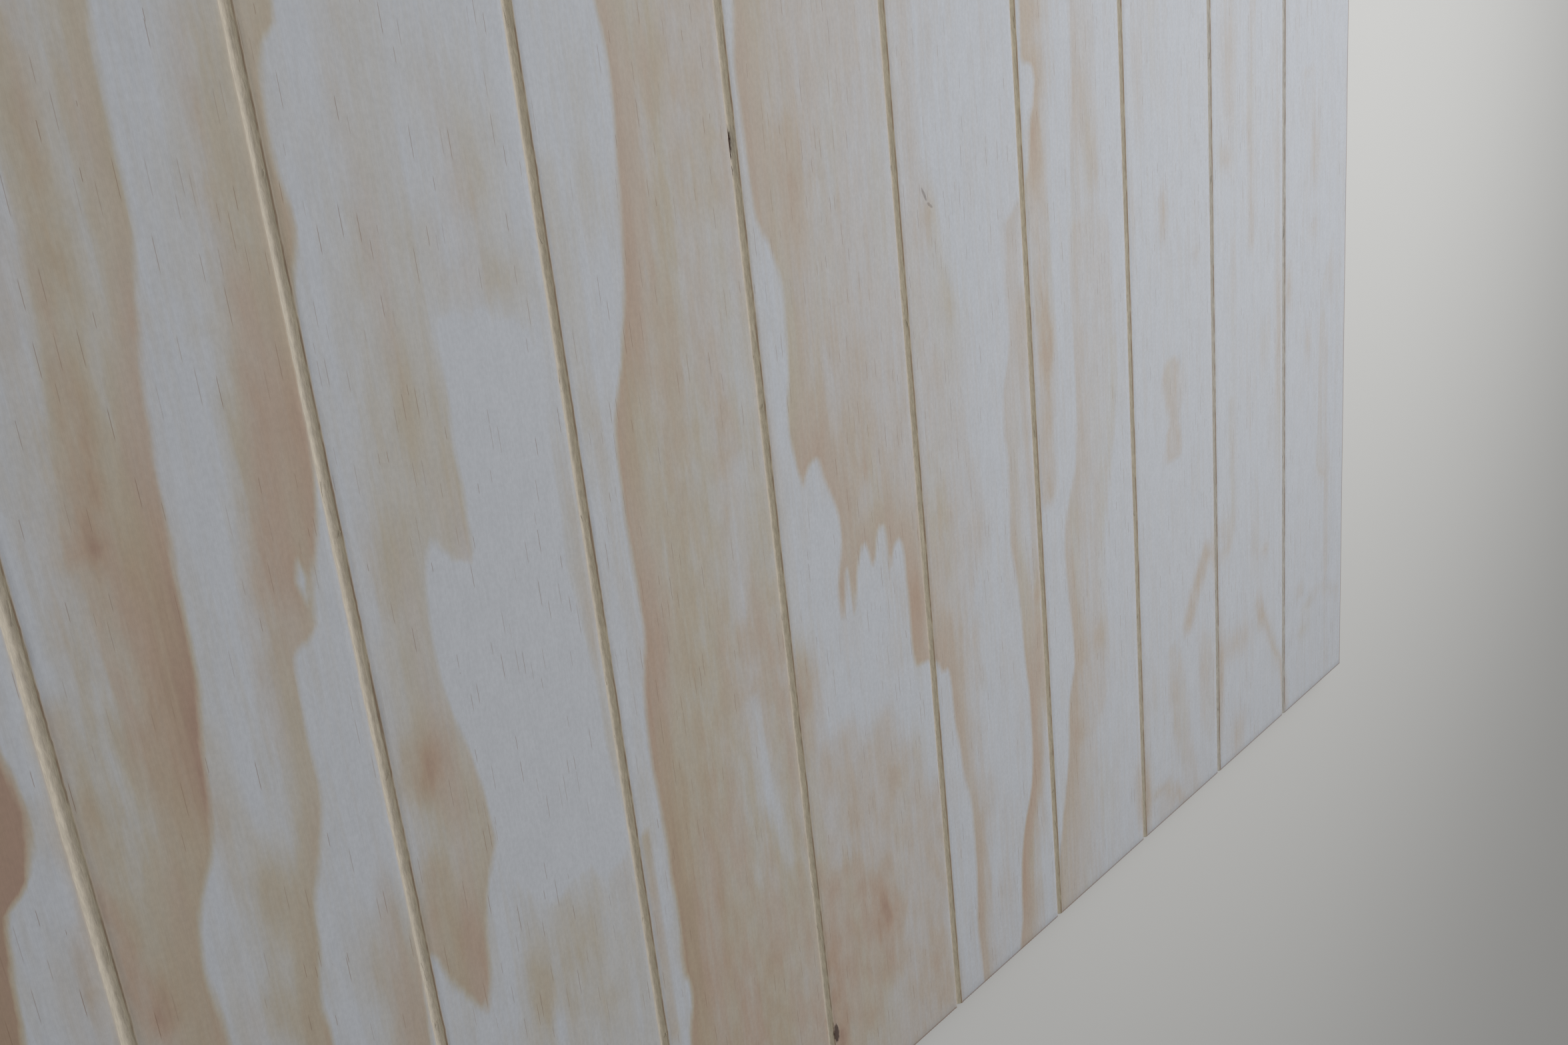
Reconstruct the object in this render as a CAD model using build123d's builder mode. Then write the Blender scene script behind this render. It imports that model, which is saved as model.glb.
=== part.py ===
from build123d import *
import math
import os

# A grooved plywood lining sheet, lying flat with its face side up. All sizes are in millimetres.
# The origin is the middle of the flat back. X runs across the grooves, Y runs along them, as the
# face grain does, and Z points out of the grooved face.

# The sheet as it is sold
sheet_width = 1200.0
sheet_length = 2400.0
sheet_thickness = 12.0
edge_arris = 0.4  # the sawn edges are lightly eased round both faces

# The grooves, as a V cutter with a rounded tip leaves them
groove_spacing = 100.0  # centre to centre
groove_width = 4.4  # across the mouth, at the face
groove_angle = 90.0  # between the two flanks, in degrees
tip_radius = 0.8  # the round root between the flanks

# How far a cut runs past each surface that it opens
cut_overrun = 2.0

# The outer boards are as wide as the rest, so two sheets laid side by side keep the spacing
groove_count = round(sheet_width / groove_spacing) - 1

# The flanks would meet at the apex, and the tip radius stops short of it
flank_tangent = math.tan(math.radians(groove_angle / 2))
apex_depth = groove_width / 2 / flank_tangent
cutter_half_width = groove_width / 2 + cut_overrun * flank_tangent

# The cutter's section, seen along a groove: its origin is the middle of the groove's mouth
with BuildSketch() as cutter_section:
    with BuildLine():
        Polyline(
            (-cutter_half_width, cut_overrun),
            (0, -apex_depth),
            (cutter_half_width, cut_overrun),
            close=True,
        )
    make_face()
    fillet(cutter_section.vertices().sort_by(Axis.Y)[0], radius=tip_radius)

# The grooves are drawn across the middle of the sheet, at the height of its face
grooves_plane = Plane(origin=(0, 0, sheet_thickness), x_dir=(1, 0, 0), z_dir=(0, -1, 0))

with BuildPart() as plywood_sheet:
    # The blank, trimmed to size, with its two faces' edges eased
    Box(
        sheet_width,
        sheet_length,
        sheet_thickness,
        align=(Align.CENTER, Align.CENTER, Align.MIN),
    )
    face_outlines = plywood_sheet.faces().filter_by(Axis.Z).edges()
    chamfer(face_outlines, length=edge_arris)

    # The grooves run out at both ends
    with BuildSketch(grooves_plane):
        with GridLocations(groove_spacing, 0, groove_count, 1):
            add(cutter_section.sketch)
    extrude(amount=sheet_length / 2 + cut_overrun, both=True, mode=Mode.SUBTRACT)

plywood_sheet.part.label = "plywood_sheet"

os.makedirs("parts", exist_ok=True)
export_step(plywood_sheet.part, "parts/plywood_sheet.step")
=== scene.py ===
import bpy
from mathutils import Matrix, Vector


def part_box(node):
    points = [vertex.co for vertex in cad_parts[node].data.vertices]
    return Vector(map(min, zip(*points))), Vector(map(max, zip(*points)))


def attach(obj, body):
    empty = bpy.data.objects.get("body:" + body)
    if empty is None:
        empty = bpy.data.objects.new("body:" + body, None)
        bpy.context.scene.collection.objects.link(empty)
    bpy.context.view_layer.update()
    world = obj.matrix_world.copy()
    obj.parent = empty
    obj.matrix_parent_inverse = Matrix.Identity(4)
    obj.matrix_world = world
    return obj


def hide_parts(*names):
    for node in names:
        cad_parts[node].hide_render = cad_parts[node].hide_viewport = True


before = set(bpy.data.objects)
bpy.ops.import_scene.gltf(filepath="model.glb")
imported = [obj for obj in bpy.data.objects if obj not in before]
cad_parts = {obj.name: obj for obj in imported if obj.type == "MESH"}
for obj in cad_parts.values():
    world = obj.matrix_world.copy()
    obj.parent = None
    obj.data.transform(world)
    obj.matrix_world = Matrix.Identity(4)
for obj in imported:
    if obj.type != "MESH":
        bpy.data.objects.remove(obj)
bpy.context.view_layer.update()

import math

import bpy
import numpy as np
from mathutils import Matrix, Vector

bl_info = {
    "name": "Grooved Plywood Sheet",
    "version": (1, 0, 0),
    "blender": (4, 5, 0),
    "location": "View3D > Sidebar > Plywood",
    "description": "Finishes a grooved pine plywood sheet and sets up its studio",
    "category": "Object",
}

# Sizes are in metres in Blender and in millimetres in the lists below, which MM converts.
MM = 0.001
NODE = "plywood_sheet"
BODY = "root"
PLY_COUNT = 5

# The materials of the sheet's faces, in this order
FACE, GROOVE, SIDE, END, BACK = range(5)

sheet_low, sheet_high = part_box(NODE)
SHEET_WIDTH = sheet_high[0] - sheet_low[0]
SHEET_LENGTH = sheet_high[1] - sheet_low[1]
SHEET_THICKNESS = sheet_high[2] - sheet_low[2]


# The figure of the face
#
# A rotary cut veneer shows each growth ring as a band. The band is pale where the wood grew in
# spring and turns tan towards summer, and it ends at a sharp edge against the next pale band.
# Each ring edge has the side on which its tan lies, the tan's strength and its reach into the
# band, both as y and value, and its points from the far end of the sheet to the near end, as
# x, y in millimetres.

LEFT, RIGHT = -1, 1

RING_EDGES = [
    (
        LEFT, [(-1200, 0.75), (1200, 0.75)], [(-1200, 0.42), (1200, 0.42)],
        [(-555, 1240), (-560, 900), (-548, 600), (-530, 300), (-540, 0), (-560, -300),
         (-552, -600), (-540, -900), (-548, -1240)],
    ),
    (
        LEFT, [(-1200, 0.7), (1200, 0.7)], [(-1200, 0.4), (1200, 0.44)],
        [(-480, 1240), (-490, 1000), (-470, 700), (-452, 400), (-470, 100), (-485, -200),
         (-470, -500), (-455, -800), (-462, -1000), (-470, -1240)],
    ),
    (
        LEFT, [(-1200, 0.8), (1200, 0.8)], [(-1200, 0.42), (1200, 0.42)],
        [(-415, 1240), (-410, 950), (-385, 650), (-380, 350), (-405, 100), (-410, -200),
         (-392, -450), (-380, -700), (-385, -850), (-392, -1000), (-398, -1240)],
    ),
    (
        LEFT, [(-1200, 1.3), (-800, 1.3), (-500, 0.9), (1200, 0.8)], [(-1200, 0.5), (1200, 0.5)],
        [(-350, 1240), (-345, 1050), (-318, 800), (-305, 500), (-318, 250), (-340, 0),
         (-335, -250), (-312, -500), (-308, -640), (-314, -740), (-316, -820), (-312, -862),
         (-310, -878), (-310, -888), (-313, -902), (-318, -908), (-322, -912), (-324, -925),
         (-327, -950), (-335, -1010), (-340, -1100), (-338, -1240)],
    ),
    (
        LEFT,
        [(-1200, 0.75), (-960, 0.7), (-920, 0.66), (-885, 0.92), (-840, 0.9), (-800, 0.64),
         (-760, 0.52), (-690, 0.5), (-600, 0.6), (0, 0.7), (1200, 0.72)],
        [(-1200, 0.5), (-960, 0.44), (-900, 0.46), (-840, 0.48), (-800, 0.44), (-760, 0.34),
         (-690, 0.36), (-500, 0.46), (1200, 0.48)],
        [(-282, 1240), (-275, 1050), (-250, 800), (-238, 500), (-248, 250), (-270, 0),
         (-262, -250), (-238, -500), (-236, -620), (-239, -675), (-241, -705), (-241, -735),
         (-246, -757), (-250, -790), (-252, -820), (-253.5, -860), (-257, -885), (-261, -915),
         (-264, -925), (-269, -935), (-272, -947), (-273, -960), (-271.5, -980), (-273, -1000),
         (-277, -1060), (-273, -1120), (-276, -1240)],
    ),
    (
        LEFT,
        [(-1200, 0.72), (-1000, 0.7), (-960, 0.6), (-925, 0.46), (-875, 0.44), (-855, 0.56),
         (-835, 0.74), (-800, 0.92), (-770, 0.76), (-740, 0.68), (-700, 0.54), (-600, 0.6),
         (0, 0.7), (1200, 0.72)],
        [(-1200, 0.44), (-960, 0.42), (-920, 0.42), (-880, 0.4), (-840, 0.52), (-760, 0.58),
         (-700, 0.54), (-500, 0.46), (1200, 0.46)],
        [(-220, 1240), (-212, 1050), (-186, 800), (-176, 500), (-190, 250), (-212, 0),
         (-200, -250), (-182, -500), (-182, -600), (-185, -677), (-191, -688), (-194, -700),
         (-195, -720), (-192.5, -742), (-197, -760), (-201, -790), (-202, -812), (-204.5, -828),
         (-207, -838), (-210, -848), (-212, -858), (-213.5, -866), (-218, -868), (-221.5, -870),
         (-223, -876), (-224, -900), (-224, -920), (-229, -938), (-234, -955), (-236, -970),
         (-240, -990), (-239, -1005), (-241, -1040), (-246, -1100), (-243, -1240)],
    ),
    (
        LEFT,
        [(-1200, 0.6), (-1015, 0.62), (-990, 0.52), (-960, 0.44), (-920, 0.32), (-880, 0.25),
         (-840, 0.27), (-800, 0.14), (-740, 0.08), (-660, 0.05), (-520, 0.5), (1200, 0.6)],
        [(-1200, 0.5), (-880, 0.5), (-500, 0.42), (1200, 0.42)],
        [(-150, 1240), (-140, 1000), (-125, 800), (-118, 500), (-128, 250), (-146, 0),
         (-150, -200), (-138, -400), (-140, -560), (-147, -660), (-151, -740), (-150, -790),
         (-149, -805), (-151, -820), (-149, -835), (-150, -850), (-149, -858), (-152, -865),
         (-160, -860), (-163, -855), (-167, -850), (-170, -860), (-172, -880), (-171.5, -900),
         (-167, -925), (-164, -940), (-162, -965), (-166, -975), (-172, -992), (-175, -1015),
         (-177, -1025), (-179, -1030), (-183, -1025), (-187, -1018), (-191, -1010), (-195, -1000),
         (-198, -996), (-202, -1004), (-204, -1030), (-206, -1060), (-212, -1120), (-214, -1240)],
    ),
    (
        RIGHT,
        [(-1200, 0.9), (-1040, 0.92), (-1000, 0.88), (-960, 0.84), (-920, 0.74), (-880, 0.66),
         (-840, 0.75), (-800, 0.75), (-760, 0.7), (-720, 0.56), (-680, 0.54), (0, 0.75),
         (1200, 0.76)],
        [(-1200, 0.44), (-960, 0.43), (-860, 0.43), (-700, 0.42), (0, 0.44), (1200, 0.46)],
        [(-62, 1240), (-58, 1000), (-70, 800), (-78, 500), (-66, 250), (-48, 0), (-52, -200),
         (-70, -400), (-72, -560), (-66, -640), (-62, -682), (-59, -705), (-61, -740), (-65, -780),
         (-72, -810), (-78, -828), (-80, -840), (-81, -870), (-80, -905), (-79.5, -920),
         (-84.5, -945), (-85, -980), (-83.5, -1005), (-84, -1025), (-83, -1040), (-84.5, -1068),
         (-82, -1078), (-83, -1090), (-86, -1103), (-88, -1150), (-84, -1240)],
    ),
    (
        RIGHT,
        [(-1200, 0.44), (-1160, 0.6), (-1120, 0.56), (-1080, 0.36), (-1040, 0.52), (-1000, 0.58),
         (-960, 0.6), (-930, 0.56), (-900, 0.58), (-880, 0.6), (-840, 0.54), (-800, 0.36),
         (-760, 0.54), (-690, 0.54), (0, 0.66), (1200, 0.7)],
        [(-1200, 0.37), (-1040, 0.36), (-1000, 0.42), (-900, 0.42), (-840, 0.42), (-760, 0.44),
         (-700, 0.42), (1200, 0.44)],
        [(16, 1240), (20, 1000), (4, 800), (-6, 500), (10, 250), (24, 0), (14, -200), (-4, -400),
         (2, -560), (9, -640), (8, -690), (5.5, -715), (7, -745), (8, -770), (14, -783),
         (17, -790), (20, -805), (19, -820), (18, -835), (14.5, -855), (15, -865), (17, -875),
         (20, -887), (22, -882), (26, -879), (30, -877), (32, -880), (34, -888), (38, -897),
         (41, -907), (41, -920), (37, -935), (36, -945), (36, -952), (38, -955), (40, -945),
         (42, -935), (43, -932), (44, -940), (45.5, -956), (48, -945), (50, -937), (53, -930),
         (56, -925), (59, -930), (61, -937), (64, -933), (66, -925), (69, -920), (72, -922),
         (72.5, -930), (73.5, -943), (76, -937), (79, -932), (82, -931), (84, -936), (85.5, -955),
         (85.5, -970), (85.5, -985), (87, -997), (91, -998), (95, -998), (100, -1000),
         (104, -1003), (107, -1009), (111, -1009), (113, -1014), (114, -1035), (117, -1060),
         (119, -1075), (122, -1085), (124, -1110), (123, -1140), (121, -1165), (123, -1200),
         (124, -1240)],
    ),
    (
        RIGHT,
        [(-1200, 0.56), (-1185, 0.64), (-1160, 0.84), (-1120, 0.78), (-1080, 0.66), (-1040, 0.6),
         (-1000, 0.4), (-960, 0.38), (-920, 0.27), (-840, 0.21), (-800, 0.2), (-775, 0.3),
         (-755, 0.46), (-690, 0.44), (0, 0.58), (1200, 0.64)],
        [(-1200, 0.5), (-1160, 0.43), (-1120, 0.41), (-1080, 0.41), (-1040, 0.5), (-1000, 0.5),
         (-960, 0.38), (-920, 0.4), (-880, 0.5), (-800, 0.5), (-755, 0.37), (-720, 0.46),
         (1200, 0.44)],
        [(160, 1240), (166, 900), (184, 650), (196, 400), (182, 150), (170, -100), (176, -300),
         (190, -500), (198, -620), (204, -680), (205, -700), (205, -720), (206, -727), (214, -729),
         (216, -735), (214, -745), (211, -755), (208, -770), (206, -778), (197, -790), (190, -797),
         (184, -800), (183, -815), (181, -835), (182, -850), (180, -865), (174, -882), (172, -905),
         (174, -915), (173, -950), (173, -965), (177, -990), (179, -1025), (182, -1060),
         (181, -1095), (177, -1112), (170, -1128), (165, -1150), (163, -1180), (159, -1200),
         (158, -1240)],
    ),
    (
        RIGHT,
        [(-1200, 0.42), (-1150, 0.44), (-1120, 0.54), (-1080, 0.42), (-1040, 0.38), (-1000, 0.28),
         (-960, 0.24), (-920, 0.14), (-800, 0.12), (-760, 0.16), (-700, 0.14), (0, 0.56),
         (1200, 0.62)],
        [(-1200, 0.5), (-1150, 0.5), (-1120, 0.42), (-1080, 0.39), (-1040, 0.35), (-960, 0.36),
         (-840, 0.3), (-760, 0.4), (0, 0.44), (1200, 0.44)],
        [(246, 1240), (250, 1000), (270, 820), (282, 580), (262, 330), (252, 80), (268, -150),
         (272, -350), (258, -540), (252, -640), (250, -700), (250, -735), (247, -765), (242, -815),
         (240, -850), (241, -900), (239, -930), (237, -940), (228, -960), (223, -980),
         (224, -1000), (228, -1045), (227, -1055), (220, -1075), (217, -1105), (210, -1135),
         (205, -1155), (202, -1165), (201, -1200), (200, -1240)],
    ),
    (
        RIGHT, [(-1200, 0.0), (-660, 0.0), (-540, 0.5), (1200, 0.6)], [(-1200, 0.38), (1200, 0.4)],
        [(345, 1240), (355, 950), (368, 700), (352, 450), (338, 200), (350, -50), (362, -300),
         (345, -500), (340, -640), (344, -800), (350, -1000), (352, -1240)],
    ),
    (
        RIGHT,
        [(-1200, 0.34), (-1130, 0.16), (-1000, 0.1), (-880, 0.0), (-640, 0.0), (-540, 0.5),
         (1200, 0.6)],
        [(-1200, 0.1), (-700, 0.12), (-500, 0.36), (1200, 0.4)],
        [(436, 1240), (440, 1000), (448, 800), (432, 550), (424, 300), (438, 50), (446, -200),
         (436, -400), (440, -560), (448, -700), (450, -800), (446, -860), (444, -915), (447, -970),
         (450, -990), (455, -1010), (460, -1025), (458, -1050), (460, -1080), (464, -1100),
         (478, -1135), (488, -1150), (495, -1158), (502, -1240)],
    ),
    (
        RIGHT,
        [(-1200, 0.1), (-900, 0.1), (-840, 0.0), (-640, 0.0), (-500, 0.5), (1200, 0.6)],
        [(-1200, 0.18), (-700, 0.2), (-500, 0.36), (1200, 0.4)],
        [(536, 1240), (530, 900), (545, 600), (552, 300), (540, 0), (548, -300), (560, -500),
         (572, -700), (578, -840), (575, -880), (562, -900), (557, -930), (555, -1000),
         (553, -1025), (556, -1035), (565, -1040), (568, -1050), (566, -1070), (568, -1110),
         (570, -1240)],
    ),
]

# Rings that close on themselves, where the knife passed a bulge of the log:
# x, y, half width, half length and how many rings the bulge lifts
RING_BULGES = [
    (-215.5, -847, 2.6, 9, 0.42), (-112, -330, 26, 150, 1.6), (-84, 250, 34, 230, 2.2),
    (-246, 720, 24, 170, -1.2), (-330, 300, 18, 90, -0.7), (96, 640, 30, 210, 1.9),
    (128, -60, 22, 100, 0.8), (330, -230, 20, 120, -0.8), (402, 560, 26, 150, 1.1),
    (-500, 880, 22, 120, 0.9), (500, 60, 16, 80, -0.6),
]

# How the ring edges wander beyond the photo: where that starts, over how much it grows, and the
# waves that it adds up, each as sideways size, length, width and seed
UNSEEN_FROM, UNSEEN_BLEND = -650, 260
UNSEEN_WAVES = [(70, 640, 125, 901), (22, 170, 60, 902)]

# Soft tan patches, or pale ones below nought: x, y, half width, half length and amount
PATCHES = [
    (-306, -944, 4, 16, 0.36), (-222, -720, 9, 36, 0.1), (-282, -752, 5, 16, 0.16),
    (-292, -892, 6, 24, 0.2), (-257, -915, 5, 44, 0.28), (-247, -940, 5, 20, 0.42),
    (-209, -970, 5, 12, 0.24), (-255, -984, 5, 14, 0.26), (-219, -985, 5, 18, 0.22),
    (-262, -990, 7, 16, 0.08), (-138, -706, 14, 22, 0.12), (-118, -714, 10, 16, 0.06),
    (-126, -740, 9, 20, 0.3), (-172, -752, 7, 16, 0.08), (-150, -752, 9, 12, 0.14),
    (-120, -772, 13, 12, 0.24), (-140, -770, 12, 8, 0.14), (-154, -822, 4.5, 30, 0.14),
    (-166, -800, 4.5, 26, 0.24), (-184, -860, 9, 34, 0.16), (-106, -880, 5, 60, 0.22),
    (-186, -928, 10, 16, 0.6), (-176, -948, 8, 10, 0.12), (-104, -960, 4, 50, 0.14),
    (-190, -972, 6, 14, 0.4), (-181, -1000, 7, 18, 0.3), (-134, -1030, 10, 24, 0.2),
    (-155, -1035, 6, 18, 0.36), (-149, -1056, 3, 10, -0.3), (-128, -1058, 10, 20, 0.1),
    (-30, -712, 14, 16, 0.08), (-16, -750, 12, 24, 0.14), (-78, -752, 7, 24, 0.14),
    (-24, -780, 20, 76, -0.1), (-10, -832, 6, 20, -0.14), (-88, -835, 6, 20, 0.12),
    (-24, -845, 7, 34, 0.16), (-12, -942, 9, 18, 0.18), (-40, -950, 8, 24, 0.12),
    (-8, -975, 8, 24, 0.14), (-10, -1060, 6, 34, 0.24), (-6, -1146, 7, 12, 0.2),
    (-32, -1088, 14, 34, 0.14), (-30, -1130, 26, 36, 0.14), (34, -758, 8, 34, 0.3),
    (64, -836, 5, 18, 0.16), (35, -856, 6, 14, 0.22), (66, -864, 6, 12, 0.14),
    (60, -895, 7, 10, 0.18), (82, -966, 4, 16, 0.14), (92.5, -968, 6, 24, 0.24),
    (8, -980, 9, 22, 0.48), (64, -1044, 6, 14, 0.2), (90, -1046, 6, 22, -0.08),
    (30, -1052, 10, 12, 0.14), (96, -1100, 3.5, 30, 0.22), (47, -1116, 7, 15, 0.4),
    (84, -1165, 9, 34, 0.2), (22, -1174, 16, 12, 0.12), (122, -788, 6, 11, 0.24),
    (186, -806, 6, 14, 0.08), (134, -832, 6, 14, 0.14), (119, -936, 8, 26, 0.24),
    (152, -946, 8, 16, 0.12), (112, -980, 8, 14, 0.1), (195, -1028, 4, 40, 0.38),
    (140, -1092, 6, 14, 0.12), (148, -1158, 7, 18, 0.16), (221, -702, 9, 15, 0.22),
    (262, -712, 9, 18, 0.1), (256, -750, 8, 22, 0.18), (266, -772, 6, 28, 0.22),
    (268, -790, 5, 10, 0.14), (214, -864, 8, 20, 0.22), (262, -968, 6, 18, 0.12),
    (240, -972, 8, 12, 0.06), (256, -1045, 8, 14, 0.2), (227, -1102, 4, 14, 0.12),
    (293, -1160, 4, 16, 0.2), (232, -1172, 6, 20, 0.06), (330, -710, 12, 40, 0.07),
    (316, -744, 6, 32, 0.11), (307, -818, 3, 28, 0.11), (341, -821, 4, 13, 0.34),
    (380, -850, 5, 4, 0.14), (316, -1110, 6, 14, 0.14), (300, -1120, 4, 30, 0.12),
    (382, -1124, 6, 26, 0.1), (305, -1130, 4, 40, 0.14), (342, -1134, 9, 34, 0.1),
    (302, -1174, 8, 22, 0.48), (330, -1192, 16, 10, 0.17), (424, -744, 9, 42, 0.2),
    (418, -799, 8, 8, 0.2), (491, -810, 4, 60, 0.14), (470, -925, 7, 16, 0.1),
    (492, -930, 4, 60, 0.26), (410, -1032, 8, 7, 0.16), (397, -1042, 4, 12, 0.22),
    (454, -1050, 4, 30, 0.11), (471, -1065, 5, 5, 0.2), (463, -1110, 5, 12, 0.22),
    (428, -1117, 22, 10, 0.21), (404, -1136, 3.5, 34, 0.5), (430, -1178, 14, 10, 0.08),
    (428, -1190, 8, 14, 0.22), (537, -760, 8, 3, 0.11), (547, -812, 8, 24, 0.17),
    (545, -860, 8, 9, 0.14), (507, -895, 4, 14, 0.2), (573, -900, 5, 16, 0.14),
    (538, -936, 4, 12, 0.2), (526, -1115, 6, 5, 0.2), (530, -1147, 9, 6, 0.17),
]

# Streaks: half width, amount and the points of the middle line
STREAKS = [
    (5.0, -0.18, [(-18, -868), (-21, -885), (-24, -905), (-26, -928)]),
    (4.6, -0.27, [(-26, -972), (-25, -990), (-22, -1015), (-16, -1038), (-12, -1054)]),
    (6.0, 0.42, [(-267, -680), (-265, -720), (-267, -752), (-272, -790), (-275, -818)]),
    (5.5, 0.36, [(-298, -862), (-297, -905), (-295, -935), (-290, -966)]),
    (2.2, 0.34, [(-94, -1000), (-94.5, -1050), (-94, -1098)]),
    (7.5, 0.26, [(214, -760), (214, -800), (213, -830), (214, -868), (212, -910), (210, -946)]),
    (6.0, 0.16, [(-213, -680), (-215, -720), (-218, -760), (-222, -800), (-226, -850)]),
    (3.5, 0.16, [(-94, -735), (-93, -780), (-92, -830)]),
    (4.0, 0.18, [(194, -840), (193, -900), (195, -950), (196, -1000)]),
    (6.0, 0.32, [(386, -1040), (379, -1050), (369, -1064), (361, -1078)]),
    (4.5, 0.14, [(424, -950), (425, -1000), (424, -1030), (416, -1046), (402, -1050)]),
    (3.6, 0.08, [(428, -850), (427, -890), (425, -940)]),
    (4.0, 0.15, [(456, -712), (454, -745), (452, -775), (453, -800), (453, -830), (453, -856)]),
    (4.2, 0.2, [(316, -1176), (328, -1178), (342, -1186), (352, -1200)]),
    (2.4, 0.08, [(221, -800), (220, -870), (216, -890), (213, -920), (211, -950)]),
    (3.0, 0.08, [(283, -880), (281, -905), (277, -930), (272, -950)]),
    (4.0, 0.1, [(532, -1132), (548, -1127), (562, -1124), (578, -1131), (592, -1138)]),
    (4.0, 0.18, [(458, -1098), (472, -1120), (488, -1148), (500, -1172), (504, -1194)]),
    (4.0, 0.12, [(571, -1048), (572, -1080), (572, -1114)]),
    (1.6, 0.1, [(-345, -775), (-320, -781), (-290, -786), (-262, -788)]),
    (1.6, 0.08, [(-262, -756), (-240, -762), (-222, -768)]),
]

# Tan or pale areas with an outline: how soft the outline is, the amount and the outline's points
AREAS = [
    (16.0, 0.15, [
        (-158, -1004), (-150, -1016), (-141, -1004), (-132, -1010), (-124, -996), (-114, -1008),
        (-104, -1004), (-104, -1104), (-130, -1088), (-160, -1066), (-165, -1036),
    ]),
    (4.0, -0.2, [
        (-149, -783), (-143, -779), (-138, -786), (-131, -781), (-124, -787), (-117, -790),
        (-112, -800), (-111, -850), (-113, -880), (-109, -905), (-106, -935), (-105, -965),
        (-104, -1000), (-115, -1003), (-128, -998), (-140, -1002), (-152, -992), (-160, -975),
        (-163, -950), (-168, -925), (-172, -900), (-168, -858), (-155, -864), (-150, -850),
        (-149, -800),
    ]),
    (14.0, 0.29, [
        (-44, -640), (-44, -700), (-46, -760), (-55, -820), (-60, -870), (-62, -960), (-62, -1060),
        (-66, -1140), (-66, -1190), (8, -1190), (5, -1100), (4, -1000), (4, -900), (3, -800),
        (2, -700), (2, -640),
    ]),
    (17.0, 0.27, [
        (5, -998), (18, -1010), (34, -1004), (46, -1018), (62, -1010), (72, -1030), (86, -1036),
        (88, -1060), (98, -1074), (97, -1110), (99, -1150), (99, -1206), (5, -1206),
    ]),
    (13.0, 0.24, [
        (3, -1062), (13, -1076), (28, -1072), (40, -1090), (53, -1086), (57, -1106), (65, -1118),
        (57, -1134), (58, -1150), (42, -1154), (32, -1170), (16, -1158), (3, -1172),
    ]),
    (9.0, 0.12, [
        (44, -680), (112, -680), (118, -740), (128, -780), (136, -820), (141, -860), (143, -900),
        (150, -930), (146, -960), (134, -985), (120, -1000), (104, -992), (96, -930), (70, -900),
        (50, -880), (44, -800),
    ]),
    (6.0, 0.12, [
        (244, -810), (242, -900), (239, -940), (226, -980), (230, -1045), (221, -1090),
        (240, -1104), (262, -1084), (264, -1040), (262, -1000), (272, -960), (282, -920),
        (284, -860), (282, -820), (266, -806),
    ]),
    (5.0, 0.14, [
        (334, -1085), (350, -1091), (356, -1120), (362, -1150), (369, -1182), (372, -1200),
        (358, -1200), (349, -1170), (340, -1140), (335, -1110),
    ]),
    (10.0, 0.12, [
        (380, -1090), (392, -1100), (397, -1130), (396, -1160), (388, -1170), (378, -1150),
        (374, -1120),
    ]),
    (4.0, 0.22, [
        (338, -908), (346, -905), (356, -908), (359, -920), (358, -935), (354, -945), (358, -955),
        (357, -965), (350, -966), (343, -968), (337, -964), (340, -950), (344, -942), (339, -930),
        (336, -918),
    ]),
    (5.0, 0.1, [
        (557, -925), (566, -922), (572, -960), (571, -1000), (578, -1038), (567, -1043),
        (556, -1033), (558, -990),
    ]),
]

# Small marks: x, y, half width, half length, turn in degrees and how dark
PITCH_MARKS = [
    (-0.9, -740.5, 1.4, 6.2, 0, 1.0),
    (-0.8, -751, 0.9, 2.6, 0, 0.8),
    (3.6, -1156, 1.7, 5.0, 0, 0.9),
    (-237.6, 140, 1.2, 9, 0, 0.8),
    (318, 520, 1.0, 8, 0, 0.7),
    (120.5, -778, 0.8, 3.4, 28, 0.4),
    (124, -783, 0.7, 2.2, 55, 0.35),
]

# Chips that the cutter lifted out of a groove's right flank: the groove's number from the left,
# y, half length and how far the wood is moved, in millimetres
FLANK_CHIPS = [
    (3, -905, 17, 0.55), (3, -1130, 9, 0.4), (4, -872, 8, 0.45), (5, -815, 7, 0.4),
    (2, -842, 6, 0.4), (6, -935, 9, 0.4), (1, -520, 12, 0.5), (5, 210, 14, 0.5),
    (8, 640, 12, 0.45),
]

# How many parts each board between two grooves is cut into, from left to right: first near the
# end that the camera sees, then over the rest
NEAR_PARTS = [8, 8, 22, 38, 40, 40, 42, 34, 28, 22, 24, 22]
REST_PARTS = [8, 8, 12, 14, 14, 14, 12, 13, 8, 10, 10, 8]

# How many rows each groove has to one row of the boards beside it, in the same two stretches
NEAR_ROWS_BESIDE = [1, 1, 4, 4, 4, 4, 2, 1, 1, 1, 1]
REST_ROWS_BESIDE = [1] * 11

# Rows along the sheet: where each stretch starts, in millimetres, and how many parts it has
NEAR_ROWS = [(-1200, 34), (-1000, 36), (-860, 34), (-660, 0)]
REST_ROWS = [(-660, 88), (1200, 0)]


# Shapes

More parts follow.
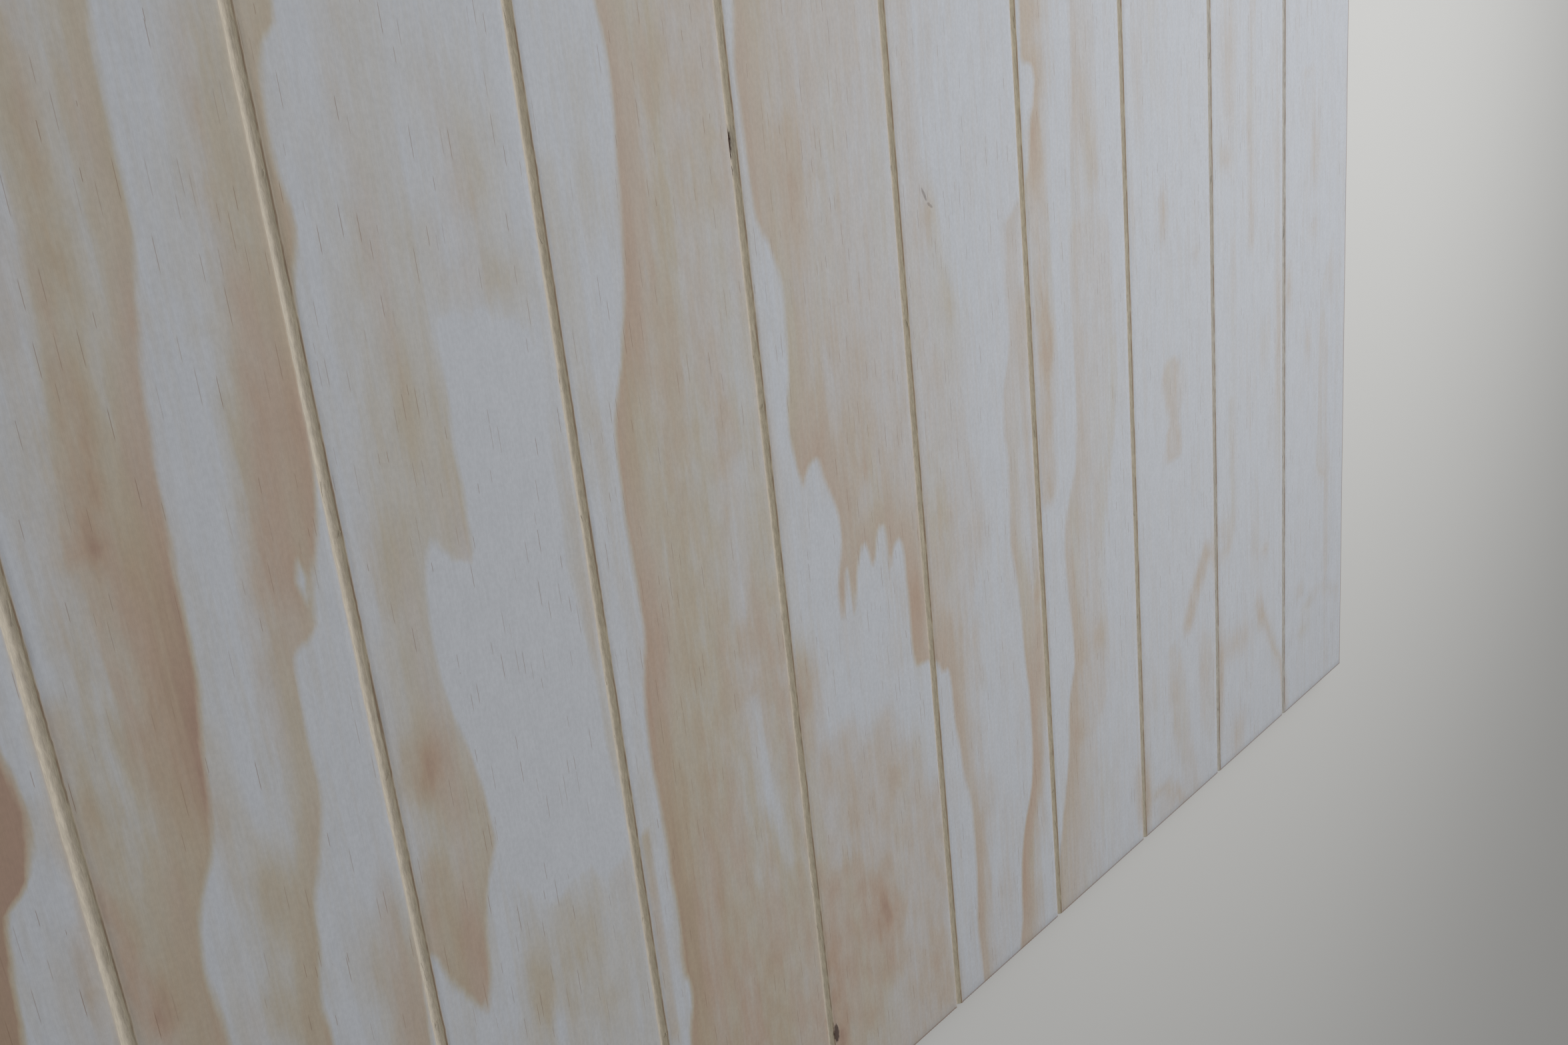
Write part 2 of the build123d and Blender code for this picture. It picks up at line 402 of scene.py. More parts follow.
def smooth_line(points, steps=4):
    """Round a drawn line: a Catmull-Rom curve through its points, with steps parts a span."""
    line = np.array(points, float)
    ends = np.vstack([2 * line[0] - line[1], line, 2 * line[-1] - line[-2]])
    before, start, stop, after = ends[:-3], ends[1:-2], ends[2:-1], ends[3:]
    share = (np.arange(steps) / steps)[None, :, None]
    slope_in = (stop - before)[:, None] / 2
    slope_out = (after - start)[:, None] / 2
    start, stop = start[:, None], stop[:, None]
    curve = (
        (2 * share**3 - 3 * share**2 + 1) * start
        + (share**3 - 2 * share**2 + share) * slope_in
        + (3 * share**2 - 2 * share**3) * stop
        + (share**3 - share**2) * slope_out
    )
    return np.vstack([curve.reshape(-1, 2), line[-1:]])


def distance_and_side(place, line, block=4000):
    """Measure each place from a line: the distance to the nearest of its spans, and whether the
    place lies on the right, which is so when the line crosses the level of the place an odd
    number of times on the left of it."""
    start, stop = line[:-1], line[1:]
    run = stop - start
    run_squared = (run**2).sum(1)
    rise = np.where(np.abs(run[:, 1]) < 1e-9, 1e-9, run[:, 1])
    distance = np.empty(len(place))
    right = np.empty(len(place), bool)
    for first in range(0, len(place), block):
        here = place[first : first + block, None, :]
        offset = here - start
        share = np.clip((offset * run).sum(2) / run_squared, 0, 1)
        gap = offset - share[..., None] * run
        distance[first : first + block] = np.sqrt((gap**2).sum(2).min(1))
        level = here[..., 1]
        spans = (start[:, 1] > level) != (stop[:, 1] > level)
        crossing = start[:, 0] + (level - start[:, 1]) * run[:, 0] / rise
        right[first : first + block] = (spans & (here[..., 0] > crossing)).sum(1) % 2 == 1
    return distance, right


def eased(share):
    """Ease a share of nought to one at both ends."""
    share = np.clip(share, 0, 1)
    return share * share * (3 - 2 * share)


def bell(place, x, y, half_width, half_length):
    """Give a bell shaped hill of one at its middle, which is nearly gone at twice its sizes."""
    across = (place[:, 0] - x) / half_width
    along = (place[:, 1] - y) / half_length
    return np.exp(-(across**2) - along**2)


def value_noise(along, across, seed):
    """Give smooth noise of nought to one: random values at the corners of unit cells, eased
    between the four corners of each cell."""
    lattice = np.random.default_rng(seed).random((256, 256))
    row, column = np.floor(along).astype(int), np.floor(across).astype(int)
    up, right = eased(along - row), eased(across - column)

    def corner(i, j):
        return lattice[(row + i) % 256, (column + j) % 256]

    low = corner(0, 0) * (1 - right) + corner(0, 1) * right
    high = corner(1, 0) * (1 - right) + corner(1, 1) * right
    return low * (1 - up) + high * up


def ring_field(place):
    """Give each place its growth ring count, how far the tan reaches into the band and how strong
    the tan is. The count rises by one across each ring edge, and its fraction is nought on the
    pale side of an edge and nearly one on the tan side. Beyond the photo the edges wander by
    broad and fine noise, and noise varies the reach and the strength."""
    settling = 15.0
    hump = 0.3
    outermost = 60.0
    reach_spread, strength_spread = 0.26, 0.9
    x, y = place.T

    def wander(length, width, seed):
        return value_noise(y / length, x / width, seed) - 0.5

    far = eased((y - UNSEEN_FROM) / UNSEEN_BLEND)
    bend = sum(size * wander(*wave) for size, *wave in UNSEEN_WAVES)
    place = np.stack([x + far * bend, y], -1)
    sides, strengths, reaches, lines = zip(*RING_EDGES)
    distance, right = zip(*[distance_and_side(place, smooth_line(line)) for line in lines])
    band = np.array(right).sum(0)
    beyond = np.full((1, len(place)), outermost)
    padded = np.vstack([beyond, distance, beyond])
    everyone = np.arange(len(place))
    to_left = padded[band, everyone]
    to_right = padded[band + 1, everyone]
    near_left = to_left / (to_left + settling)
    near_right = to_right / (to_right + settling)
    share = near_left / np.maximum(near_left + near_right, 1e-9)

    # The band on the left of edge k has number k, and the steps between bands follow the edges
    tan = np.array(sides)
    base = np.concatenate([[0], np.cumsum(np.where(tan == LEFT, 1, -1))]).astype(float)
    tan_at_left = np.concatenate([[False], tan == RIGHT])[band]
    tan_at_right = np.concatenate([tan == LEFT, [False]])[band]
    bump = hump * 4 * share * (1 - share)
    ring = base[band] + np.select(
        [tan_at_right & ~tan_at_left, tan_at_left & ~tan_at_right, tan_at_left & tan_at_right],
        [share, 1 - share, 1 - bump],
        bump,
    )
    for *spot, lift in RING_BULGES:
        ring += lift * bell(place, *spot)

    def between_edges(curves):
        values = np.array([np.interp(place[:, 1], *zip(*curve)) for curve in curves])
        left = values[np.clip(band - 1, 0, len(lines) - 1), everyone]
        right = values[np.clip(band, 0, len(lines) - 1), everyone]
        return (left * to_right + right * to_left) / (to_left + to_right)

    reach = between_edges(reaches) + far * reach_spread * wander(260, 110, 903)
    loosened = 1 + far * strength_spread * wander(300, 120, 904)
    return ring, reach, between_edges(strengths) * loosened


def stain_field(place):
    """Add up the soft patches, each a bell shaped hill, the streaks, each full along its middle
    line and gone at one and three quarter half widths, and the areas, each full inside its
    outline and gone just outside it."""
    stain = np.zeros(len(place))
    for *spot, amount in PATCHES:
        stain += amount * bell(place, *spot)
    for half_width, amount, points in STREAKS:
        distance, _ = distance_and_side(place, smooth_line(points))
        stain += amount * eased((1.75 - distance / half_width) / 1.5)
    for softness, amount, outline in AREAS:
        distance, inside = distance_and_side(place, smooth_line(outline + outline[:1]))
        stain += amount * eased(0.5 + np.where(inside, distance, -distance) / softness)
    return stain


def groove_centres(sizes):
    """List the middles of the grooves across the sheet."""
    count = round(SHEET_WIDTH / sizes.groove_spacing)
    return -SHEET_WIDTH / 2 + np.arange(1, count) * sizes.groove_spacing


def groove_stations(sizes):
    """List the stations across one groove and their depths: two lips, flanks that fall at the
    groove's angle, and a round root of the tip's radius between them."""
    half = sizes.groove_width / 2
    slope = math.tan(sizes.groove_angle / 2)
    tip = sizes.tip_radius
    tangent = tip * math.cos(sizes.groove_angle / 2)
    middle = half / slope - tip / math.sin(sizes.groove_angle / 2)
    right = np.array([0.2 * MM, tangent, 0.55 * half, half - sizes.arris, half])
    across = np.concatenate([-right[::-1], right])
    flank = (half - np.abs(across)) / slope
    root = middle + np.sqrt(np.maximum(tip**2 - across**2, 0))
    return across, np.where(np.abs(across) < tangent, root, flank)


def groove_wear(across, y, number, amount):
    """Work out how the cutter left a groove, as moves across and down for each row and station.

    Each lip steps outward where its eased noise is high, and takes the upper flank with it. The
    flanks are rough in short ripples that leave the lips at the level of the face, the root
    drifts from side to side, and the listed chips hollow the upper right flank and swell it
    below."""
    half = across[-1]
    share = np.abs(across) / half
    level = y[:, None] / MM
    near_lip = eased((share - 0.3) / 0.7)
    near_root = eased((0.6 - share) / 0.6)
    lip_move = np.stack([
        0.16 * value_noise(level[:, 0] / 9, np.zeros(len(y)), seed)
        + 0.5 * np.clip(value_noise(level[:, 0] / 3.1, np.ones(len(y)), seed) - 0.66, 0, 1)
        for seed in (number * 2 + 40, number * 2 + 41)
    ])
    outward = np.where(across > 0, lip_move[1][:, None], -lip_move[0][:, None])
    drift = 0.34 * (value_noise(level / 14, level * 0, number + 80) - 0.5)
    sideways = outward * near_lip + drift * near_root
    place_across = np.broadcast_to(across / MM, (len(y), len(across)))
    rough = value_noise(level / 2.6, place_across / 0.7 + 50, number + 120) - 0.5
    rough = rough + 0.6 * (value_noise(level / 1.3, place_across / 0.4 + 50, number + 160) - 0.5)
    down = 0.17 * rough * np.where(share > 0.99, 0, 1)
    for groove, middle, half_length, move in FLANK_CHIPS:
        if groove == number:
            envelope = np.clip(1 - ((level - middle) / half_length) ** 2, 0, 1) ** 1.5
            hollow = np.exp(-(((across / half - 0.84) / 0.14) ** 2))
            swell = np.exp(-(((across / half - 0.36) / 0.22) ** 2))
            down = down + move * envelope * (hollow - 0.8 * swell) * (share < 0.99)
    return sideways * MM * amount, down * MM * amount


def rows(stretches):
    """Lay out rows along the sheet, evenly within each stretch."""
    levels = [
        np.linspace(start, stop, count, endpoint=False)
        for (start, count), (stop, _) in zip(stretches[:-1], stretches[1:])
    ]
    return np.concatenate(levels + [[stretches[-1][0]]]) * MM


def quads(index):
    """List the four corners of each cell of a grid of numbers."""
    corners = [index[:-1, :-1], index[:-1, 1:], index[1:, 1:], index[1:, :-1]]
    return np.stack(corners, -1).reshape(-1, 4)


def top_stretch(sizes, parts, beside, y, amount, first_number):
    """Lay out one stretch of the top.

    Each board is a grid of even columns at the level of the face, and each groove a grid of its
    own stations with several rows to one of the boards. The cells beside a lip take in all of
    the lip's places, so the two grids share them. Gives the places, how far each lies from the
    nearest groove, the faces with their materials, the first and last line of the stretch with
    their even x and whether they are in a groove, and the left and right column."""
    centres = groove_centres(sizes)
    across, depth = groove_stations(sizes)
    half = sizes.groove_width / 2
    half_width, half_length = SHEET_WIDTH / 2, SHEET_LENGTH / 2
    places, offsets, faces, line_x, line_in_groove = [], [], [], [], []
    total = first_number

    def lay(even_x, x, rows_y, down, offset, finish):
        nonlocal total
        at_end = np.abs(rows_y) > half_length - sizes.arris / 2
        down = np.maximum(down, np.where(at_end, sizes.arris, 0)[:, None])
        long = np.broadcast_to(rows_y[:, None], x.shape)
        places.append(np.stack([x, long, SHEET_THICKNESS - down], -1).reshape(-1, 3))
        offsets.append(np.broadcast_to(offset, x.shape).ravel())
        index = total + np.arange(x.size).reshape(x.shape)
        faces.append((quads(index), finish))
        line_x.append(even_x)
        line_in_groove.append(np.full(len(even_x), finish == GROOVE))
        total += x.size
        return index

    boards, grooves = [], []
    starts = np.concatenate([[-half_width + sizes.arris], centres + half])
    stops = np.concatenate([centres - half, [half_width - sizes.arris]])
    for k, (start, stop, count) in enumerate(zip(starts, stops, parts)):
        own = np.linspace(start, stop, count + 1)
        own = np.concatenate([[-half_width], own[:-1]]) if k == 0 else own[1:]
        own = np.concatenate([own, [half_width]]) if k == len(parts) - 1 else own[:-1]
        x = np.broadcast_to(own, (len(y), len(own)))
        rim = np.where(np.abs(own) > half_width - sizes.arris / 2, sizes.arris, 0)
        near_groove = np.abs(own[:, None] - centres).min(1)
        boards.append(lay(own, x, y, np.broadcast_to(rim, x.shape), near_groove, FACE))
        if k < len(centres):
            parts_of_row = np.arange((len(y) - 1) * beside[k] + 1) / beside[k]
            closer = np.interp(parts_of_row, np.arange(len(y)), y)
            sideways, down = groove_wear(across, closer, k, amount)
            even_x = centres[k] + across
            x, down = even_x + sideways, depth + down
            grooves.append(lay(even_x, x, closer, down, np.abs(across), GROOVE))
    steps = np.arange(len(y) - 1)[:, None]
    for k, groove in enumerate(grooves):
        span = steps * beside[k] + np.arange(beside[k] + 1)
        left, right = boards[k][:, -1], boards[k + 1][:, 0]
        to_left = groove[:, 0][span]
        to_right = groove[:, -1][span]
        faces.append((np.hstack([left[1:, None], left[:-1, None], to_left]), FACE))
        faces.append((np.hstack([right[:-1, None], right[1:, None], to_right[:, ::-1]]), FACE))

    def line(row):
        found = [boards[0][row]]
        for groove, board in zip(grooves, boards[1:]):
            found += [groove[row], board[row]]
        return np.concatenate(found)

    return {
        "places": np.concatenate(places), "offsets": np.concatenate(offsets), "faces": faces,
        "first": line(0), "last": line(-1), "x": np.concatenate(line_x),
        "in_groove": np.concatenate(line_in_groove), "left": boards[0][:, 0],
        "right": boards[-1][:, -1],
    }


def sheet_surface(sizes):
    """Work out the whole closed surface of the sheet.

    The top has a close stretch near the camera and a wider one over the rest, joined by a strip
    of triangles, and its rim drops by the arris. The walls are the rim carried down through the
    levels of the plies, and the back closes the last of them. Gives the places, the faces as one
    list of corners, each face's corner count, each face's material, and how far each place of
    the top lies from the nearest groove.
    """
    half_length = SHEET_LENGTH / 2
    y_near = rows(NEAR_ROWS)
    y_near = np.concatenate([[-half_length, -half_length + sizes.arris], y_near[1:]])
    y_rest = rows(REST_ROWS)[1:]
    y_rest = np.concatenate([y_rest[:-1], [half_length - sizes.arris, half_length]])
    near = top_stretch(sizes, NEAR_PARTS, NEAR_ROWS_BESIDE, y_near, 1.0, 0)
    rest = top_stretch(sizes, REST_PARTS, REST_ROWS_BESIDE, y_rest, 0.6, len(near["places"]))

    # The strip between the two: each close part meets the nearer wide column, and each wide part
    # meets the close column at which the parts go over to its right end
    middle = (near["x"][:-1] + near["x"][1:]) / 2
    cell = np.searchsorted(rest["x"], middle) - 1
    cell_middle = (rest["x"][cell] + rest["x"][cell + 1]) / 2
    apex = np.where(middle < cell_middle, cell, cell + 1)
    low, high = near["last"], rest["first"]
    close_strip = np.stack([low[:-1], low[1:], high[apex]], -1)
    turn = np.searchsorted(apex, np.arange(1, len(high)))
    wide_strip = np.stack([low[turn], high[1:], high[:-1]], -1)

    # The rim, against the clock as seen from above, starting at the near left corner. Each cross
    # ply stands back a little behind it, from glue line to glue line.
    rim = np.concatenate([
        near["first"][:-1], near["right"], rest["right"][:-1], rest["last"][:0:-1],
        rest["left"][::-1], near["left"][:0:-1],
    ])
    top = np.concatenate([near["places"], rest["places"]])
    rim_place = top[rim]
    ply = SHEET_THICKNESS / PLY_COUNT
    glue = 0.05 * MM
    recess = 0.12 * MM
    levels = []
    for k in range(PLY_COUNT - 1, 0, -1):
        insets = (recess, 0.0) if k % 2 == 1 else (0.0, recess)
        levels += zip((k * ply + glue, k * ply - glue), insets)
    levels += [(sizes.arris, 0.0), (0.0, sizes.arris)]
    limit = np.array([SHEET_WIDTH / 2, half_length])
    rings = []
    for level, inset in levels:
        ring = rim_place.copy()
        # The rim's last span beside a corner shrinks a little, so that no two corners meet
        side = np.sign(ring[:, :2])
        room = limit - np.abs(ring[:, :2])
        corner = limit - inset - np.minimum(room, inset + sizes.arris) / 2
        ring[:, :2] = side * np.where(room < inset + sizes.arris, corner, np.abs(ring[:, :2]))
        ring[:, 2] = level
        rings.append(ring)
    below = len(top) + np.arange(len(rings) * len(rim)).reshape(len(rings), len(rim))
    loops = np.vstack([rim[None], below])
    loops = np.hstack([loops, loops[:, :1]])
    walls = np.stack([loops[1:, :-1], loops[1:, 1:], loops[:-1, 1:], loops[:-1, :-1]], -1)
    step_x, step_y, _ = np.abs(np.diff(rim_place, axis=0, append=rim_place[:1])).T
    wall_finish = np.tile(np.where(step_x > step_y, END, SIDE), len(rings))

    faces = near["faces"] + rest["faces"]
    for strip, stretch in ((close_strip, near), (wide_strip, rest)):
        in_groove = stretch["in_groove"][:-1] & stretch["in_groove"][1:]
        faces.append((strip, np.where(in_groove, GROOVE, FACE)))
    faces += [(walls.reshape(-1, 4), wall_finish), (below[-1][::-1][None], BACK)]
    corners = np.concatenate([cells.ravel() for cells, _ in faces])
    counts = np.concatenate([np.full(len(cells), cells.shape[1]) for cells, _ in faces])
    finishes = np.concatenate([np.broadcast_to(kind, len(cells)) for cells, kind in faces])
    offsets = np.concatenate([near["offsets"], rest["offsets"]])
    return np.concatenate([top] + rings), corners, counts, finishes, offsets


def torn_fibres(sizes, every=62.0):
    """Work out the torn fibres in the grooves, one to each stretch of the given length.

    Each is a tapered bar of six sections. It leaves the flank near a lip, or the root, runs a
    few millimetres along the groove and bows towards the groove's middle, and its tip lifts
    clear of the wood but stays below the face. Its sections are rectangles across the run, and
    both ends are closed."""
    rng = np.random.default_rng(7)
    across, depth = groove_stations(sizes)
    centres = groove_centres(sizes)
    each = int(SHEET_LENGTH / MM / every)
    count = each * len(centres)
    start = (np.tile(np.arange(each), len(centres)) + rng.random(count)) * every * MM
    start = start - SHEET_LENGTH / 2
    side = np.where(rng.random(count) < 0.6, 1.0, -1.0)
    base = side * rng.choice([0.3, 1.1, 1.5, 1.8], count) * MM
    length = (2.2 + 7.0 * rng.random(count) ** 2) * MM
    start = np.clip(start, -SHEET_LENGTH / 2 + 2 * MM, SHEET_LENGTH / 2 - 14 * MM)
    bow = (0.2 + 1.1 * rng.random(count)) * MM
    lift = (0.1 + 0.5 * rng.random(count)) * MM
    half_wide = (0.11 + 0.12 * rng.random(count)) * MM
    half_thick = 0.06 * MM
    turned = rng.random(count) < 0.5

    centre, start, side_bow, base, length, lift, half_wide, turned = (
        values[:, None]
        for values in (
            np.repeat(centres, each), start, side * bow, base, length, lift, half_wide, turned
        )
    )
    run = np.linspace(0, 1, 6)[None, :]
    out = np.where(turned, 1 - run, run)
    x = centre + base - side_bow * out**2
    y = start + length * run
    ground = SHEET_THICKNESS - np.interp(np.abs(x - centre), across[5:], depth[5:])
    z = ground + 0.02 * MM + lift * out**1.5 - 0.1 * MM * (1 - out) ** 2
    z = np.minimum(z, SHEET_THICKNESS - half_thick - 0.03 * MM)
    wide = half_wide * (1.0 - 0.75 * out)
    place = np.stack([
        x[..., None] + wide[..., None] * np.array([-1, 1, 1, -1]),
        np.broadcast_to(y[..., None], (*y.shape, 4)),
        z[..., None] + half_thick * np.array([-1, -1, 1, 1]),
    ], -1)
    index = np.arange(count * 24).reshape(count, 6, 4)
    around = np.roll(index, -1, axis=2)
    sides = np.stack([index[:, :-1], index[:, 1:], around[:, 1:], around[:, :-1]], -1)
    ends = np.concatenate([index[:, 0], index[:, -1, ::-1]])
    return place.reshape(-1, 3), np.concatenate([sides.reshape(-1, 4), ends])


def mesh_object(name, place, corners, counts, finishes, materials):
    """Put places and faces into a new mesh, with its object at the origin."""
    mesh = bpy.data.meshes.new(name)
    mesh.vertices.add(len(place))
    mesh.vertices.foreach_set("co", place.astype(np.float32).ravel())
    mesh.loops.add(len(corners))
    mesh.loops.foreach_set("vertex_index", corners.astype(np.int32))
    mesh.polygons.add(len(counts))
    starts = np.concatenate([[0], np.cumsum(counts)[:-1]]).astype(np.int32)
    mesh.polygons.foreach_set("loop_start", starts)
    for material in materials:
        mesh.materials.append(material)
    mesh.polygons.foreach_set("material_index", finishes.astype(np.int32))
    mesh.update(calc_edges=True)
    if mesh.validate():
        raise RuntimeError(f"{name} has faces that are not sound")
    piece = bpy.data.objects.new(name, mesh)
    bpy.context.scene.collection.objects.link(piece)
    return piece


def keep_on_points(mesh, name, values, total):
    """Store one number a point for the materials, with nought past the given ones."""
    padded = np.zeros(total, np.float32)
    padded[: len(values)] = values
    mesh.attributes.new(name, "FLOAT", "POINT").data.foreach_set("value", padded)


# Shader nodes

class Nodes:
    """A node tree, with short ways to add to it. Sizes are in millimetres."""

    def __init__(self, tree):
        self.tree = tree

    def fill(self, node, inputs):
        """Set a node's sockets to values, or link them to other sockets."""
        for key, value in inputs.items():
            if isinstance(value, bpy.types.NodeSocket):
                self.tree.links.new(value, node.inputs[key])
            else:
                node.inputs[key].default_value = value

    def add(self, kind, inputs=None, **options):
        """Add a node, set its options, fill its sockets and give its outputs."""
        node = self.tree.nodes.new(kind)
        for option, value in options.items():
            setattr(node, option, value)
        self.fill(node, inputs or {})
        return node.outputs

    def use(self, group, inputs):
        """Use a node group, and give its outputs."""
        return self.add("ShaderNodeGroup", inputs, node_tree=group)

    def attribute(self, name):
        """Read a number that the mesh carries on its points."""
        return self.add("ShaderNodeAttribute", attribute_name=name)["Fac"]

    def split(self, vector):
        """Take coordinates apart into X, Y and Z."""
        return self.add("ShaderNodeSeparateXYZ", {0: vector})

    def calc(self, operation, *values, clamp=False):
        """Join values with one Math node."""
        inputs = dict(enumerate(values))
        return self.add("ShaderNodeMath", inputs, operation=operation, use_clamp=clamp)[0]

    def times(self, total, *factors):
        """Multiply values, one after the other."""
        for factor in factors:
            total = self.calc("MULTIPLY", total, factor)
        return total

    def plus(self, first, second):
        """Add two values."""
        return self.calc("ADD", first, second)

    def ramp(self, value, start, stop, low=0.0, high=1.0):
        """Carry a value smoothly from low at start to high at stop."""
        inputs = {"From Min": start, "From Max": stop, "To Min": low, "To Max": high}
        inputs["Value"] = value
        return self.add("ShaderNodeMapRange", inputs, interpolation_type="SMOOTHSTEP")["Result"]

    def vary(self, value, low, high):
        """Spread noise, nearly all of which lies between 0.3 and 0.7, over low to high."""
        return self.ramp(value, 0.3, 0.7, low, high)

    def sized(self, vector, across, along, deep=10.0, shift=(0, 0, 0)):
        """Scale coordinates so that one unit is the given size."""
        scale = tuple(1 / (size * MM) for size in (across, along, deep))
        inputs = {"Vector": vector, "Scale": scale, "Location": shift}
        return self.add("ShaderNodeMapping", inputs)["Vector"]

    def noise(self, vector, across, along, detail=2.0, roughness=0.5, deep=10.0, shift=(0, 0, 0)):
        """Give soft noise with spots of about the given size."""
        inputs = {"Scale": 1.0, "Detail": detail, "Roughness": roughness}
        inputs["Vector"] = self.sized(vector, across, along, deep, shift)
        return self.add("ShaderNodeTexNoise", inputs)["Fac"]

    def mix(self, factor, first, second, mode="MIX"):
        """Mix two colours."""
        first, second = (
            colour if isinstance(colour, bpy.types.NodeSocket) else (*colour, 1.0)
            for colour in (first, second)
        )
        inputs = {0: factor, 6: first, 7: second}
        return self.add("ShaderNodeMix", inputs, data_type="RGBA", blend_type=mode)[2]

    def shaded(self, colour, amount):
        """Multiply all three parts of a colour by one number."""
        grey = self.add("ShaderNodeCombineColor", dict(Red=amount, Green=amount, Blue=amount))
        return self.mix(1.0, colour, grey["Color"], "MULTIPLY")

    def bump(self, height, depth):
        """Turn a height of nought to one into a normal, with the depth from nought to one."""
        inputs = {"Height": height, "Distance": depth * MM, "Strength": 1.0}
        return self.add("ShaderNodeBump", inputs)["Normal"]


def new_group(name, inputs, outputs):
    """Start a node group. An input is a number with the given default, or a vector where that is
    None, and each output is a number. Gives its nodes, its inputs and the node that ends it."""
    group = bpy.data.node_groups.new(name, "ShaderNodeTree")
    for socket_name, default in inputs.items():
        kind = "NodeSocketVector" if default is None else "NodeSocketFloat"
        socket = group.interface.new_socket(socket_name, in_out="INPUT", socket_type=kind)
        if default is not None:
            socket.default_value = default
    for socket_name in outputs:
        group.interface.new_socket(socket_name, in_out="OUTPUT", socket_type="NodeSocketFloat")
    given = group.nodes.new("NodeGroupInput").outputs
    return Nodes(group), given, group.nodes.new("NodeGroupOutput")


def ring_tone_group():
    """Turn a growth ring count into the depth of the tan.

    The fraction of the count falls from one at the tan side of a ring edge. The tan rises over
    the edge's first millimetres, holds, and fades smoothly where the fraction has fallen by the
    reach, with a shorter fade on top of it. A little of it spills over to the pale side.
    """
    inputs = {"Ring": 0.0, "Reach": 0.4, "Strength": 1.0, "Softness": 0.11}
    n, given, result = new_group("ring tone", inputs, ["Tone"])
    fraction = n.calc("FRACT", given["Ring"])
    fallen = n.calc("SUBTRACT", 1.0, fraction)
    fade_start = n.calc("SUBTRACT", given["Reach"], 0.15)
    fade_stop = n.plus(given["Reach"], 0.11)
    body = n.ramp(fallen, fade_start, fade_stop, 1.0, 0.0)
    core = n.ramp(fallen, 0.04, 0.4, 1.0, 0.0)
    inside = n.plus(n.times(body, 0.78), n.times(core, 0.2))
    inside = n.times(inside, n.ramp(fallen, -0.02, 0.13, 0.38, 1.0))
    spill = n.ramp(fraction, -0.02, given["Softness"], 0.4, 0.0)
    tone = n.times(n.calc("MAXIMUM", inside, spill), given["Strength"])
    n.fill(result, {"Tone": tone})
    return n.tree


def fibre_group():
    """Lay fibres along the grain: fine noise drawn out along Y, with a wider and longer share."""
    n, given, result = new_group("pine fibres", {"Vector": None}, ["Fine", "Broad"])
    fine = n.noise(given["Vector"], 0.34, 11.0, 3.0, 0.6)
    broad = n.noise(given["Vector"], 2.2, 70.0, 2.0, 0.55, shift=(3.1, 7.7, 0))
    n.fill(result, {"Fine": fine, "Broad": broad})
    return n.tree


def resin_group():
    """Scatter resin canals: one short dark thread in some of the cells of a stretched cell
    pattern, thin across the grain and a few millimetres long."""
    n, given, result = new_group("resin canals", {"Vector": None, "Amount": 0.3}, ["Canal"])
    cell_width, cell_length = 3.0, 20.0
    vector = n.sized(given["Vector"], cell_width, cell_length)
    cells = n.add("ShaderNodeTexVoronoi", {"Vector": vector, "Scale": 1.0},
                  voronoi_dimensions="2D", feature="F1")
    offset = n.add("ShaderNodeVectorMath", {0: vector, 1: cells["Position"]},
                   operation="SUBTRACT")
    apart = n.split(offset[0])
    chance = n.add("ShaderNodeSeparateColor", {0: cells["Color"]})
    across = n.times(n.calc("ABSOLUTE", apart["X"]), cell_width)
    along = n.times(n.calc("ABSOLUTE", apart["Y"]), cell_length)
    half_length = n.calc("MULTIPLY_ADD", chance[1], 5.0, 2.0)
    thin = n.ramp(across, 0.04, 0.17, 1.0, 0.0)
    short = n.ramp(n.calc("DIVIDE", along, half_length), 0.6, 1.0, 1.0, 0.0)
    there = n.calc("LESS_THAN", chance[0], given["Amount"])
    depth = n.calc("MULTIPLY_ADD", chance[2], 0.6, 0.4)
    n.fill(result, {"Canal": n.times(n.times(thin, short), n.times(there, depth))})
    return n.tree


def lip_group():
    """Mark the lips of the grooves from the distance to the nearest groove's middle: a broken
    line of painted shade just inside the right lip, a polished rim just outside both, and the
    right flank. The place across the sheet is wrapped to the groove spacing to tell right from
    left."""
    inputs = {"Vector": None, "Distance": 0.01, "Spacing": 0.1, "Half width": 0.0022}
    n, given, result = new_group("groove lips", inputs, ["Bruise", "Rim", "Right flank"])
    half_spacing = n.times(given["Spacing"], 0.5)
    low = n.times(half_spacing, -1.0)
    wrapped = n.calc("WRAP", n.split(given["Vector"])["X"], half_spacing, low)
    right = n.calc("GREATER_THAN", wrapped, 0.0)
    beyond = n.calc("SUBTRACT", given["Distance"], given["Half width"])
    # Painted shade: a thin dark line just inside the right lip, standing in for the steep lip's
    # shade
    lip_shade_inset = 0.24 * MM
    from_lip_shade = n.calc("ABSOLUTE", n.plus(beyond, lip_shade_inset))
    line = n.ramp(from_lip_shade, 0.1 * MM, 0.3 * MM, 1.0, 0.0)
    broken = n.ramp(n.noise(given["Vector"], 60, 12), 0.34, 0.56, 0.25, 1.0)
    rim = n.times(n.ramp(beyond, 0.15 * MM, 0.7 * MM, 1.0, 0.0),
                  n.calc("GREATER_THAN", beyond, -0.12 * MM))
    flank = n.ramp(wrapped, -0.2 * MM, 2.0 * MM)
    n.fill(result, {"Bruise": n.times(line, broken, right), "Rim": rim, "Right flank": flank})
    return n.tree


